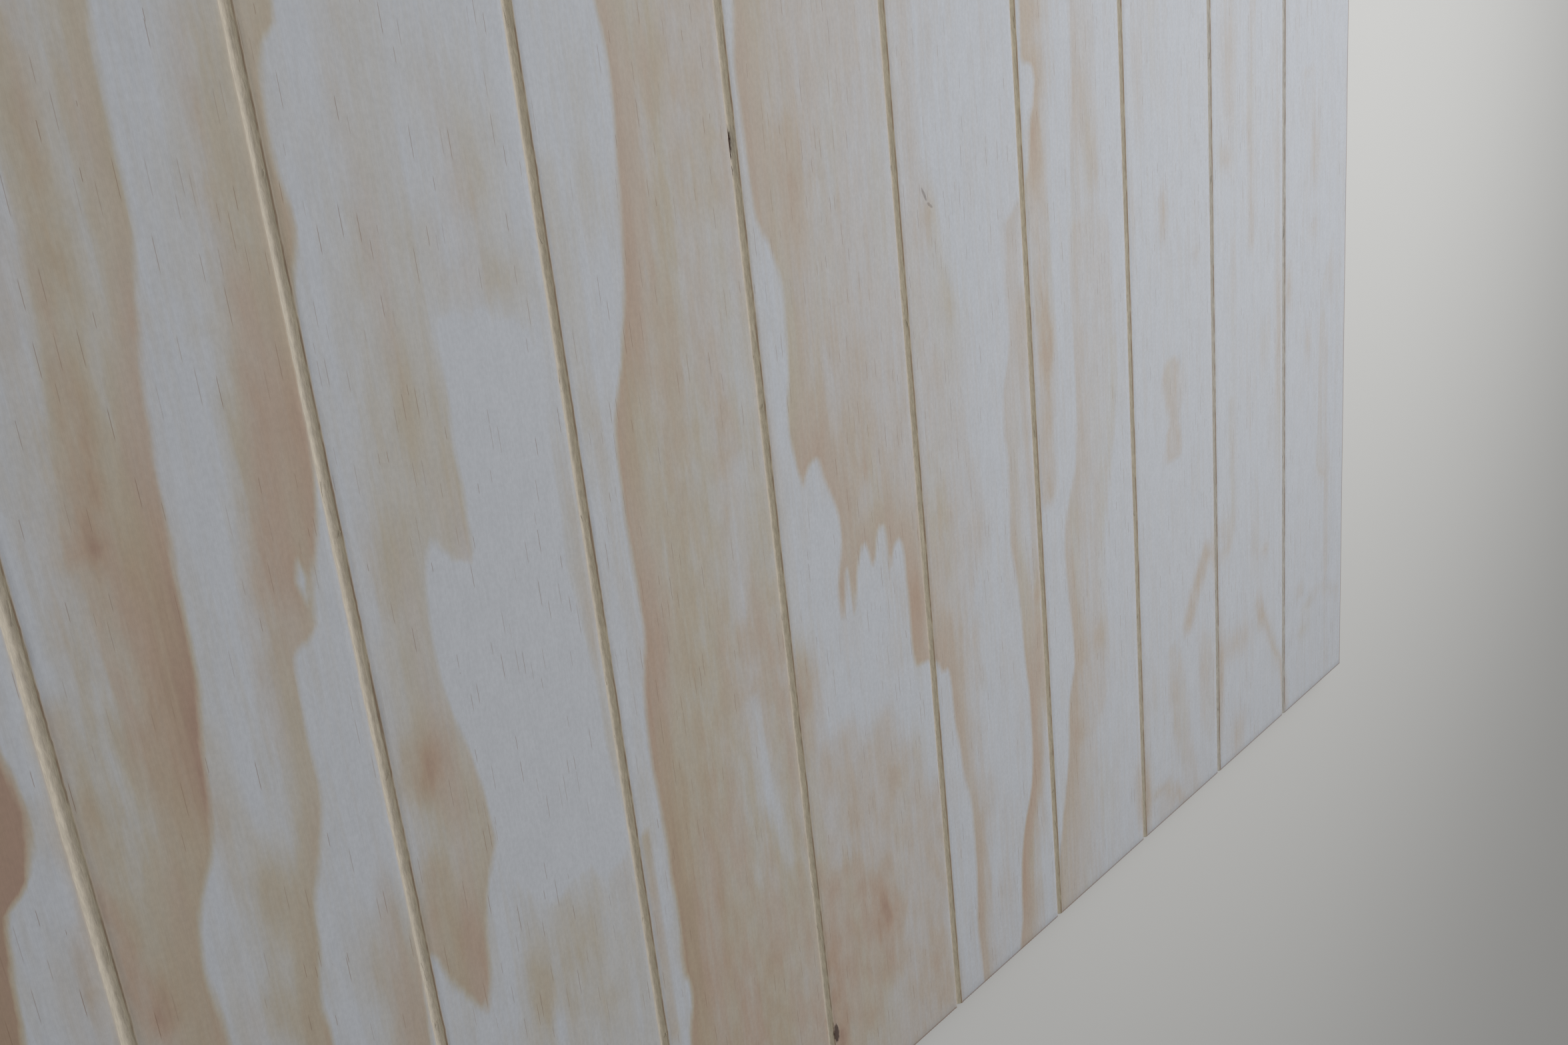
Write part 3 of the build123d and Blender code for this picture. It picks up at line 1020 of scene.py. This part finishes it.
def pitch_group():
    """Draw the small dark marks: each is an oval about its own middle, turned in the sheet's
    plane, full inside and gone a little outside it. Where two meet the darker one counts."""
    n, given, result = new_group("pitch marks", {"Vector": None}, ["Pitch"])
    rim = n.calc("MULTIPLY_ADD", n.noise(given["Vector"], 0.8, 2.5), 0.9, 0.5)
    total = 0.0
    for x, y, half_width, half_length, turn, dark in PITCH_MARKS:
        mapped = n.add("ShaderNodeMapping", {
            "Vector": given["Vector"], "Location": (x * MM, y * MM, 0.0),
            "Rotation": (0.0, 0.0, math.radians(turn)),
            "Scale": (half_width * MM, half_length * MM, 1.0),
        }, vector_type="TEXTURE")
        apart = n.split(mapped["Vector"])
        flat = n.add("ShaderNodeCombineXYZ", {"X": apart["X"], "Y": apart["Y"]})
        far = n.add("ShaderNodeVectorMath", {0: flat[0]}, operation="LENGTH")
        beyond = n.calc("SUBTRACT", far["Value"], rim)
        mark = n.times(n.ramp(beyond, -0.2, 0.3, 1.0, 0.0), dark)
        total = n.calc("MAXIMUM", mark, total)
    n.fill(result, {"Pitch": total})
    return n.tree


def new_material(name):
    """Start a material and give its nodes, its shader and the object's own coordinates."""
    material = bpy.data.materials.new(name)
    material.use_nodes = True
    n = Nodes(material.node_tree)
    return material, n, n.tree.nodes["Principled BSDF"], n.add("ShaderNodeTexCoord")["Object"]


def tan_colours(n, tone, finish):
    """Carry the tone from pale spring wood over golden and tan wood to the deepest tan."""
    node = n.tree.nodes.new("ShaderNodeValToRGB")
    n.fill(node, {"Fac": tone})
    stops = node.color_ramp.elements
    stops[0].color = (*finish.pale_colour, 1.0)
    stops[1].color = (*finish.deep_colour, 1.0)
    for position, colour in ((0.42, finish.golden_colour), (0.78, finish.tan_colour)):
        stops.new(position).color = (*colour, 1.0)
    return node.outputs["Color"]


def veneer_surface(n, shader, place, tone, cloudy, threads, groups, finish, canals, marks=(),
                   pinker=0.0):
    """Finish a sanded veneer face: the tone's colour, clouds, fibres, fine mottle, resin canals
    and fuzz, with summer wood a little smoother and prouder than spring wood. The marks are laid
    over them, each a mask and its colour, and pinker shifts the tan from golden to pink."""
    golden_tint, pink_tint = (0.985, 1.0, 0.95), (1.01, 0.974, 0.986)
    fibres = n.use(groups["fibres"], {"Vector": place})
    cloud = n.noise(place, 17, 36, 2.5, shift=(1.3, 4.2, 0))
    mottle = n.noise(place, 1.3, 2.0, 2.0, 0.65)
    drawn = n.vary(n.noise(place, 6.0, 90, shift=(6, 3, 0)), -0.09, 0.12)
    clouds = n.plus(n.times(drawn, threads),
                    n.times(n.ramp(cloud, 0.38, 0.72, -0.06, 0.26), cloudy))
    clouds = n.times(clouds, n.calc("MULTIPLY_ADD", tone, -0.8, 1.0, clamp=True))
    streaky = n.vary(fibres["Broad"], -0.035, 0.045)
    total = n.calc("ADD", n.plus(tone, streaky), clouds, clamp=True)
    colour = tan_colours(n, total, finish)

    # The tan is golden in places and pink in others, and mostly pink where it is deep
    hue = n.noise(place, 16, 110, shift=(2, 5, 0))
    hue = n.plus(n.calc("MULTIPLY_ADD", tone, 0.16, hue), pinker)
    tint = n.mix(n.ramp(hue, 0.4, 0.68), golden_tint, pink_tint)
    tint = n.mix(n.calc("MULTIPLY", total, 1.5, clamp=True), (1.0, 1.0, 1.0), tint)
    colour = n.mix(1.0, colour, tint, "MULTIPLY")

    thread = n.vary(fibres["Fine"], 0.968, 1.026)
    grainy = n.vary(mottle, 0.963, 1.028)
    soft = n.vary(n.noise(place, 6, 15, shift=(7, 1, 0)), 0.984, 1.014)
    colour = n.shaded(colour, n.times(thread, grainy, soft))
    spread = n.noise(place, 45, 120, 1.0, shift=(9, 2, 0))
    amount = n.ramp(spread, 0.35, 0.65, canals * 0.3, canals * 1.4)
    canal = n.use(groups["resin"], {"Vector": place, "Amount": amount})["Canal"]
    for mark, mark_colour in ((n.times(canal, 0.64), finish.resin_colour), *marks):
        colour = n.mix(mark, colour, mark_colour)

    rough = n.calc("MULTIPLY_ADD", total, -0.1, finish.roughness)
    fuzz = n.noise(place, 0.3, 0.8, 2.0, 0.6, shift=(5, 1, 0))
    height = n.calc("MULTIPLY_ADD", fibres["Fine"], 0.5, n.times(fuzz, 0.35))
    height = n.plus(height, n.times(total, 0.4))
    height = n.calc("SUBTRACT", height, n.times(canal, 0.5))
    n.fill(shader, {
        "Base Color": colour,
        "Roughness": n.plus(rough, n.vary(fibres["Fine"], -0.03, 0.04)),
        "Normal": n.bump(height, finish.relief_depth / MM),
        "Specular IOR Level": 0.35,
    })


def use_lips(n, place, groups, sizes):
    """Use the lip lines at the sizes of the grooves."""
    return n.use(groups["lips"], {
        "Vector": place, "Distance": n.attribute("from_groove"),
        "Spacing": sizes.groove_spacing, "Half width": sizes.groove_width / 2,
    })


def face_material(groups, finish, sizes):
    """Finish the grooved face from the ring count that its points carry."""
    material, n, shader, place = new_material("pine_face")
    wiggle = n.noise(place, 5.0, 24.0, 3.0, 0.6)
    wiggle = n.times(n.calc("SUBTRACT", wiggle, 0.5), 0.16)
    strength = n.attribute("tan_strength")
    figure = n.use(groups["rings"], {
        "Ring": n.plus(n.attribute("growth_ring"), wiggle), "Reach": n.attribute("tan_reach"),
        "Strength": strength, "Softness": 0.11,
    })
    uneven = n.noise(place, 7.0, 17.0, shift=(2, 8, 0))
    stain = n.times(n.attribute("stain"), n.vary(uneven, 0.78, 1.2))
    lips = use_lips(n, place, groups, sizes)
    apart = n.split(place)
    # The polished rims of the grooves are fainter towards the right edge
    rim_amount = n.ramp(apart["X"], 0.2, 0.5, 0.36, 0.16)
    # The sheet's outer edges are worn over their last millimetres
    worn = [
        n.ramp(n.calc("ABSOLUTE", apart[axis]), size / 2 - 1.8 * MM, size / 2 - 0.4 * MM)
        for axis, size in (("X", SHEET_WIDTH), ("Y", SHEET_LENGTH))
    ]
    marks = [
        (n.times(n.calc("MAXIMUM", *worn), 0.7), finish.lip_shade_and_wear_colour),
        (n.times(lips["Rim"], rim_amount), finish.rim_colour),
        # Painted shade: the thin dark line just inside each right lip
        (n.times(lips["Bruise"], 0.4), finish.lip_shade_and_wear_colour),
        (n.use(groups["pitch"], {"Vector": place})["Pitch"], finish.pitch_colour),
    ]
    # Clouds and threads are fainter where the listed patches and streaks lie, and the tan turns
    #     pinker from left to right
    free = n.ramp(apart["Y"], -0.72, -0.5, 0.42, 1.0)
    cloudy = n.times(n.calc("MAXIMUM", strength, 0.3), free)
    threads = n.times(n.calc("MAXIMUM", strength, 0.1), free)
    threads = n.calc("MULTIPLY", threads, 1.4, clamp=True)
    pinker = n.ramp(apart["X"], -0.1, 0.1, -0.08, 0.14)
    tone = n.plus(figure["Tone"], stain)
    veneer_surface(n, shader, place, tone, cloudy, threads, groups, finish, 0.26, marks, pinker)
    return material


def back_material(groups, finish):
    """Finish the plain back with a figure of its own: a ring count that rises across the sheet,
    bent by broad noise."""
    material, n, shader, place = new_material("pine_back")
    across = n.times(n.split(place)["X"], 1 / (80 * MM))
    bend = n.noise(place, 170, 700)
    wander = n.noise(place, 34, 110, 3.0, 0.55)
    ring = n.calc("MULTIPLY_ADD", wander, 0.5, n.calc("MULTIPLY_ADD", bend, 5.0, across))
    figure = {"Ring": ring, "Reach": 0.42, "Strength": 0.8, "Softness": 0.09}
    tone = n.use(groups["rings"], figure)["Tone"]
    veneer_surface(n, shader, place, tone, 0.8, 0.8, groups, finish, 0.4)
    return material


def groove_material(groups, finish, sizes):
    """Finish the cut grooves: bare cream wood, torn a little across its fibres, and painted shade,
    browner and darker, on the right flank, which faces away from the key lamp."""
    material, n, shader, place = new_material("pine_groove")
    fibres = n.use(groups["fibres"], {"Vector": place})
    torn = n.noise(place, 0.7, 3.4, 3.0, 0.65, 0.7)
    chips = n.noise(place, 1.2, 9.0, 2.0, 0.6, 1.2, (2, 5, 1))
    lips = use_lips(n, place, groups, sizes)
    across = n.split(place)["X"]

    # Painted shade on the right flank: up to the left change it lies only on the flank's top, and
    #     the rest of those grooves is up to a tenth lighter, as painted light.
    # Past the right change the cut wood pales towards the face's own colour.
    left_change, right_change = (-0.24, -0.12), (0.22, 0.5)
    # Painted shade: the right flank's colour stands in for its shade
    right_flank_shade = n.calc("POWER", lips["Right flank"], n.ramp(across, *left_change, 2.6, 0.5))
    colour = n.mix(right_flank_shade, finish.groove_colour, finish.right_flank_shade_colour)
    colour = n.mix(n.ramp(across, *right_change, 0.0, 0.5), colour, finish.pale_colour)
    shade = n.times(n.vary(torn, 0.88, 1.08), n.ramp(chips, 0.3, 0.62, 0.93, 1.04))
    # Painted light: where there is no painted shade, the left grooves are up to a tenth lighter
    painted_lift = n.times(n.calc("SUBTRACT", 1.0, right_flank_shade), n.ramp(across, *left_change, 0.1, 0.0))
    colour = n.shaded(colour, n.times(shade, n.plus(painted_lift, 1.0)))
    # Painted shade: the thin dark line just inside the right lip
    colour = n.mix(n.times(lips["Bruise"], 0.62), colour, finish.lip_shade_and_wear_colour)
    pitch = n.use(groups["pitch"], {"Vector": place})["Pitch"]
    height = n.plus(n.times(torn, 0.7), n.times(fibres["Fine"], 0.3))
    n.fill(shader, {
        "Base Color": n.mix(pitch, colour, finish.pitch_colour),
        "Normal": n.bump(height, 0.28),
        "Roughness": n.vary(torn, 0.8, 0.95),
        "Specular IOR Level": 0.2,
    })
    return material


def edge_material(name, groups, finish, along_length):
    """Finish a sawn edge: five plies with a thin glue line between them. The plies whose grain
    runs along this edge show drawn out fibres, and the others show pores and are darker."""
    material, n, shader, place = new_material(name)
    apart = n.split(place)
    up = apart["Z"]
    flat = n.add("ShaderNodeCombineXYZ", {"X": apart["Y" if along_length else "X"], "Y": up})[0]
    waver_height = 0.16 * MM
    middle = n.calc("SUBTRACT", up, waver_height / 2)
    level = n.calc("MULTIPLY_ADD", n.noise(flat, 60, 2.0), waver_height, middle)
    count = n.calc("DIVIDE", level, SHEET_THICKNESS / PLY_COUNT)
    odd = n.calc("PINGPONG", n.calc("FLOOR", count), 1.0)
    across_grain = odd if along_length else n.calc("SUBTRACT", 1.0, odd)
    long_fibres = n.noise(flat, 14.0, 0.22, 3.0, 0.6)
    pores = n.noise(flat, 0.35, 0.3, 3.0, 0.65)
    rings = n.noise(flat, 24.0, 0.7, shift=(4, 1, 0))
    shades = {
        0: across_grain,
        2: n.vary(long_fibres, 0.86, 1.06),
        3: n.times(n.ramp(pores, 0.3, 0.66, 0.66, 1.08), n.ramp(rings, 0.35, 0.65, 0.84, 1.06)),
    }
    colour = n.mix(across_grain, finish.edge_colour, finish.end_grain_colour)
    colour = n.shaded(colour, n.add("ShaderNodeMix", shades)[0])
    glue = n.ramp(n.calc("PINGPONG", count, 0.5), 0.012, 0.045, 0.75, 0.0)
    inner = n.times(n.calc("GREATER_THAN", count, 0.5),
                    n.calc("LESS_THAN", count, PLY_COUNT - 0.5))
    colour = n.mix(n.times(glue, inner), colour, finish.glue_colour)
    gap_noise = n.noise(flat, 9.0, 0.8, 1.0, shift=(1, 6, 0))
    gap = n.times(n.ramp(gap_noise, 0.72, 0.76), across_grain)
    saw = n.noise(flat, 1.1, 14.0)
    height = n.calc("MULTIPLY_ADD", pores, across_grain, n.times(saw, 0.35))
    height = n.calc("SUBTRACT", height, n.times(gap, 2.0))
    n.fill(shader, {
        "Base Color": n.mix(gap, colour, finish.gap_colour),
        "Normal": n.bump(height, 0.15),
        "Roughness": n.vary(pores, 0.74, 0.9),
        "Specular IOR Level": 0.25,
    })
    return material


# What a user can set

def linear(red, green, blue):
    """Turn a colour written as 0 to 255 on a screen into the linear values that shaders use."""
    shares = np.array([red, green, blue]) / 255
    low = shares / 12.92
    high = ((shares + 0.055) / 1.055) ** 2.4
    return tuple(float(value) for value in np.where(shares <= 0.04045, low, high))


def colour_setting(name, description, *screen_colour):
    """A colour that the user can set, with its default as 0 to 255 on a screen."""
    return bpy.props.FloatVectorProperty(
        name=name, description=description, default=linear(*screen_colour), subtype="COLOR",
        min=0, max=1,
    )


def length_setting(name, description, default, precision=4):
    """A length that the user can set."""
    return bpy.props.FloatProperty(
        name=name, description=description, default=default, unit="LENGTH", precision=precision
    )


def power_setting(name, description, default):
    """A lamp's power that the user can set."""
    return bpy.props.FloatProperty(
        name=name, description=description, default=default, unit="POWER"
    )


def vector_setting(name, description, default, subtype="TRANSLATION"):
    """A place or a direction that the user can set."""
    return bpy.props.FloatVectorProperty(
        name=name, description=description, default=default, subtype=subtype
    )


class SheetSizes(bpy.types.PropertyGroup):
    """The sizes of the grooves and edges, as they are cut in the sheet."""

    groove_spacing: length_setting("Groove spacing", "Between the middles of two grooves", 0.1)
    groove_width: length_setting("Groove width", "Across the mouth of a groove", 0.0044)
    groove_angle: bpy.props.FloatProperty(
        name="Groove angle", description="Between the two flanks of a groove",
        default=math.radians(90), subtype="ANGLE",
    )
    tip_radius: length_setting("Root radius", "Of the round root of a groove", 0.0008)
    arris: length_setting("Arris", "How far the sheet's sharp edges are eased", 0.0004)


class SheetFinish(bpy.types.PropertyGroup):
    """The colours and surface of the wood."""

    pale_colour: colour_setting("Spring wood", "The palest wood of the face", 175, 178, 183)
    golden_colour: colour_setting("Golden tan", "Half way to summer wood", 167, 159, 148)
    tan_colour: colour_setting("Summer wood", "The tan beside a ring edge", 161, 144, 127)
    deep_colour: colour_setting("Deep tan", "The few darkest, reddish places", 149, 127, 111)
    resin_colour: colour_setting("Resin canals", "The short dark threads", 118, 94, 76)
    pitch_colour: colour_setting("Pitch", "The few dark pitch marks", 58, 40, 32)
    groove_colour: colour_setting("Cut wood", "The grooves' left flanks", 190, 182, 168)
    # Painted shade: the right flanks' colour stands in for their shade
    right_flank_shade_colour: colour_setting("Right flank shade", "The grooves' right flanks", 180, 171, 151)
    edge_colour: colour_setting("Edge, long grain", "Plies along the edge", 192, 176, 147)
    end_grain_colour: colour_setting("Edge, end grain", "Plies across it", 165, 142, 110)
    # Painted shade: the thin dark line inside the right lips; the same colour also marks the worn
    # outer edges
    lip_shade_and_wear_colour: colour_setting("Groove lip", "Painted shade inside the right lips, and the worn outer edges", 120, 92, 74)
    rim_colour: colour_setting("Lip rim", "Polished wood outside both lips", 190, 176, 158)
    glue_colour: colour_setting("Glue lines", "The thin lines between plies", 104, 76, 56)
    gap_colour: colour_setting("Core gaps", "The small gaps in cross plies", 62, 48, 36)
    roughness: bpy.props.FloatProperty(
        name="Roughness", description="Of sanded spring wood", default=0.74, min=0, max=1,
    )
    relief_depth: length_setting("Grain relief", "Depth of the sanded grain", 0.00004, 5)


class StudioSettings(bpy.types.PropertyGroup):
    """The floor, the lamps and the camera."""

    floor_colour: colour_setting("Floor", "The plain floor", 194, 194, 192)
    floor_size: length_setting("Floor size", "Side of the square floor", 40.0)
    key_power: power_setting("Key power", "Of the lamp beyond the right edge", 7.6)
    key_size: length_setting("Key size", "Side of that lamp", 1.1)
    key_place: vector_setting("Key place", "Where that lamp hangs", (0.6, -0.53, 0.8))
    key_target: vector_setting("Key target", "What that lamp is aimed at", (0.3, -0.53, 0.0))
    top_power: power_setting("Top power", "Of the wide lamp over the far half", 6.5)
    top_size: length_setting("Top size", "Side of that lamp", 1.8)
    top_place: vector_setting("Top place", "Where that lamp hangs", (0.2, 1.2, 1.5))
    top_target: vector_setting("Top target", "What that lamp is aimed at", (0.2, 0.84, 0.0))
    fill_strength: bpy.props.FloatProperty(
        name="Fill strength", description="Of the even light from all round", default=0.38,
    )
    camera_place: vector_setting(
        "Camera place", "Where the camera stands", (-0.4310, -0.7021, 0.4268)
    )
    camera_target: vector_setting(
        "Camera target", "The point in the middle of the picture", (0.0056, -0.8987, 0.012)
    )
    camera_up: vector_setting(
        "Picture up", "What is upwards in the picture", (0.2982, 0.9450, -0.1341), "DIRECTION"
    )
    lens: bpy.props.FloatProperty(
        name="Lens", description="Focal length on a sensor 36 mm wide", default=34.24,
        unit="CAMERA",
    )


# What makes the pieces

class PLYWOOD_OT_sheet(bpy.types.Operator):
    """Make the finished sheet in the place of its plain solid"""

    bl_idname = "plywood.sheet"
    bl_label = "Plywood sheet"

    def execute(self, context):
        sizes = context.scene.sheet_sizes
        finish = context.scene.sheet_finish
        groups = {
            "rings": ring_tone_group(),
            "fibres": fibre_group(),
            "resin": resin_group(),
            "lips": lip_group(),
            "pitch": pitch_group(),
        }
        materials = [
            face_material(groups, finish, sizes),
            groove_material(groups, finish, sizes),
            edge_material("pine_long_edge", groups, finish, True),
            edge_material("pine_end_edge", groups, finish, False),
            back_material(groups, finish),
        ]
        place, corners, counts, finishes, offsets = sheet_surface(sizes)
        piece = mesh_object("plywood_sheet_finished", place, corners, counts, finishes, materials)
        on_top = place[: len(offsets), :2] / MM
        ring, reach, strength = ring_field(on_top)
        fields = {
            "growth_ring": ring,
            "tan_reach": reach,
            "tan_strength": strength,
            "stain": stain_field(on_top),
            "from_groove": offsets,
        }
        for name, values in fields.items():
            keep_on_points(piece.data, name, values, len(place))
        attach(piece, BODY)
        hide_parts(NODE)
        return {"FINISHED"}


class PLYWOOD_OT_fibres(bpy.types.Operator):
    """Make the torn fibres in the grooves, with the sheet's own cut wood"""

    bl_idname = "plywood.fibres"
    bl_label = "Torn fibres"

    def execute(self, context):
        cut_wood = bpy.data.materials.get("pine_groove")
        if cut_wood is None:
            raise RuntimeError("make the plywood sheet first, its cut wood is needed")
        place, cells = torn_fibres(context.scene.sheet_sizes)
        counts = np.full(len(cells), 4)
        piece = mesh_object("groove_fibres", place, cells.ravel(), counts, counts * 0, [cut_wood])
        distant = np.full(len(place), SHEET_WIDTH, np.float32)
        keep_on_points(piece.data, "from_groove", distant, len(place))
        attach(piece, BODY)
        return {"FINISHED"}


class PLYWOOD_OT_studio(bpy.types.Operator):
    """Set up the floor, the lamps and the camera"""

    bl_idname = "plywood.studio"
    bl_label = "Studio"

    def execute(self, context):
        studio = context.scene.studio_settings
        self.lay_floor(studio)
        for name in ("key", "top"):
            self.hang_lamp(context, studio, name)
        self.light_all_round(context, studio)
        self.place_camera(context, studio)
        context.scene.view_settings.view_transform = "Standard"
        return {"FINISHED"}

    def lay_floor(self, studio):
        """Lay a square at the level that the sheet lies on."""
        half = studio.floor_size / 2
        corners = [(-half, -half), (half, -half), (half, half), (-half, half)]
        place = np.array([(x, y, sheet_low[2]) for x, y in corners])
        material, n, shader, where = new_material("studio_floor")
        darker = tuple(value * 0.97 for value in studio.floor_colour)
        colour = n.mix(n.noise(where, 400, 400, deep=400), tuple(studio.floor_colour), darker)
        n.fill(shader, {"Base Color": colour, "Roughness": 0.85})
        floor = mesh_object("studio_floor", place, np.arange(4), np.array([4]), np.array([0]),
                            [material])

    def hang_lamp(self, context, studio, name):
        """Hang one soft square lamp in its place, aimed at its target."""
        place = getattr(studio, f"{name}_place")
        data = bpy.data.lights.new(f"{name}_lamp", "AREA")
        data.shape = "SQUARE"
        data.size = getattr(studio, f"{name}_size")
        data.energy = getattr(studio, f"{name}_power")
        data.color = (0.985, 0.99, 1.0)
        lamp = bpy.data.objects.new(data.name, data)
        aim = Vector(getattr(studio, f"{name}_target")) - Vector(place)
        turn = aim.to_track_quat("-Z", "Y").to_matrix().to_4x4()
        lamp.matrix_world = Matrix.Translation(place) @ turn
        lamp.visible_camera = False
        context.scene.collection.objects.link(lamp)

    def light_all_round(self, context, studio):
        """Light evenly from all round, with a paler backdrop for the camera and reflections."""
        world = bpy.data.worlds.new("studio_light")
        world.use_nodes = True
        n = Nodes(world.node_tree)
        light = n.tree.nodes["Background"]
        n.fill(light, {"Color": (1.0, 0.985, 0.97, 1.0), "Strength": studio.fill_strength})
        backdrop = n.add("ShaderNodeBackground",
                         {"Color": (0.7, 0.7, 0.69, 1.0), "Strength": 1.0})
        path = n.add("ShaderNodeLightPath")
        seen = n.calc("MAXIMUM", path["Is Camera Ray"], path["Is Glossy Ray"])
        choice = n.add("ShaderNodeMixShader", {0: seen, 1: light.outputs[0], 2: backdrop[0]})
        n.fill(n.tree.nodes["World Output"], {"Surface": choice[0]})
        context.scene.world = world

    def place_camera(self, context, studio):
        """Look from the camera's place to its target, turned so that the picture's up is up."""
        data = bpy.data.cameras.new("camera")
        data.sensor_width = 36.0
        data.lens = studio.lens
        data.clip_start = 0.01
        forward = (Vector(studio.camera_target) - Vector(studio.camera_place)).normalized()
        right = forward.cross(Vector(studio.camera_up)).normalized()
        up = right.cross(forward)
        axes = Matrix((right, up, -forward)).transposed().to_4x4()
        camera = bpy.data.objects.new("camera", data)
        camera.matrix_world = Matrix.Translation(studio.camera_place) @ axes
        context.scene.collection.objects.link(camera)
        context.scene.camera = camera


class PLYWOOD_PT_panel(bpy.types.Panel):
    """Lists what makes the sheet and its studio"""

    bl_label = "Grooved plywood sheet"
    bl_idname = "PLYWOOD_PT_panel"
    bl_space_type = "VIEW_3D"
    bl_region_type = "UI"
    bl_category = "Plywood"

    def draw(self, context):
        layout = self.layout
        for operator in STEPS:
            layout.operator(operator.bl_idname)
        for group_name in SETTINGS:
            group = getattr(context.scene, group_name)
            box = layout.box()
            for prop in group.bl_rna.properties:
                if prop.identifier not in ("rna_type", "name"):
                    box.prop(group, prop.identifier)


STEPS = (PLYWOOD_OT_sheet, PLYWOOD_OT_fibres, PLYWOOD_OT_studio)
SETTINGS = {
    "sheet_sizes": SheetSizes,
    "sheet_finish": SheetFinish,
    "studio_settings": StudioSettings,
}


def register():
    for kind in (*SETTINGS.values(), *STEPS, PLYWOOD_PT_panel):
        bpy.utils.register_class(kind)
    for name, kind in SETTINGS.items():
        setattr(bpy.types.Scene, name, bpy.props.PointerProperty(type=kind))


def unregister():
    for name in SETTINGS:
        delattr(bpy.types.Scene, name)
    for kind in reversed((*SETTINGS.values(), *STEPS, PLYWOOD_PT_panel)):
        bpy.utils.unregister_class(kind)


def main():
    """Make each piece and the studio."""
    register()
    bpy.ops.plywood.sheet()
    bpy.ops.plywood.fibres()
    bpy.ops.plywood.studio()


if __name__ == "__main__":
    main()
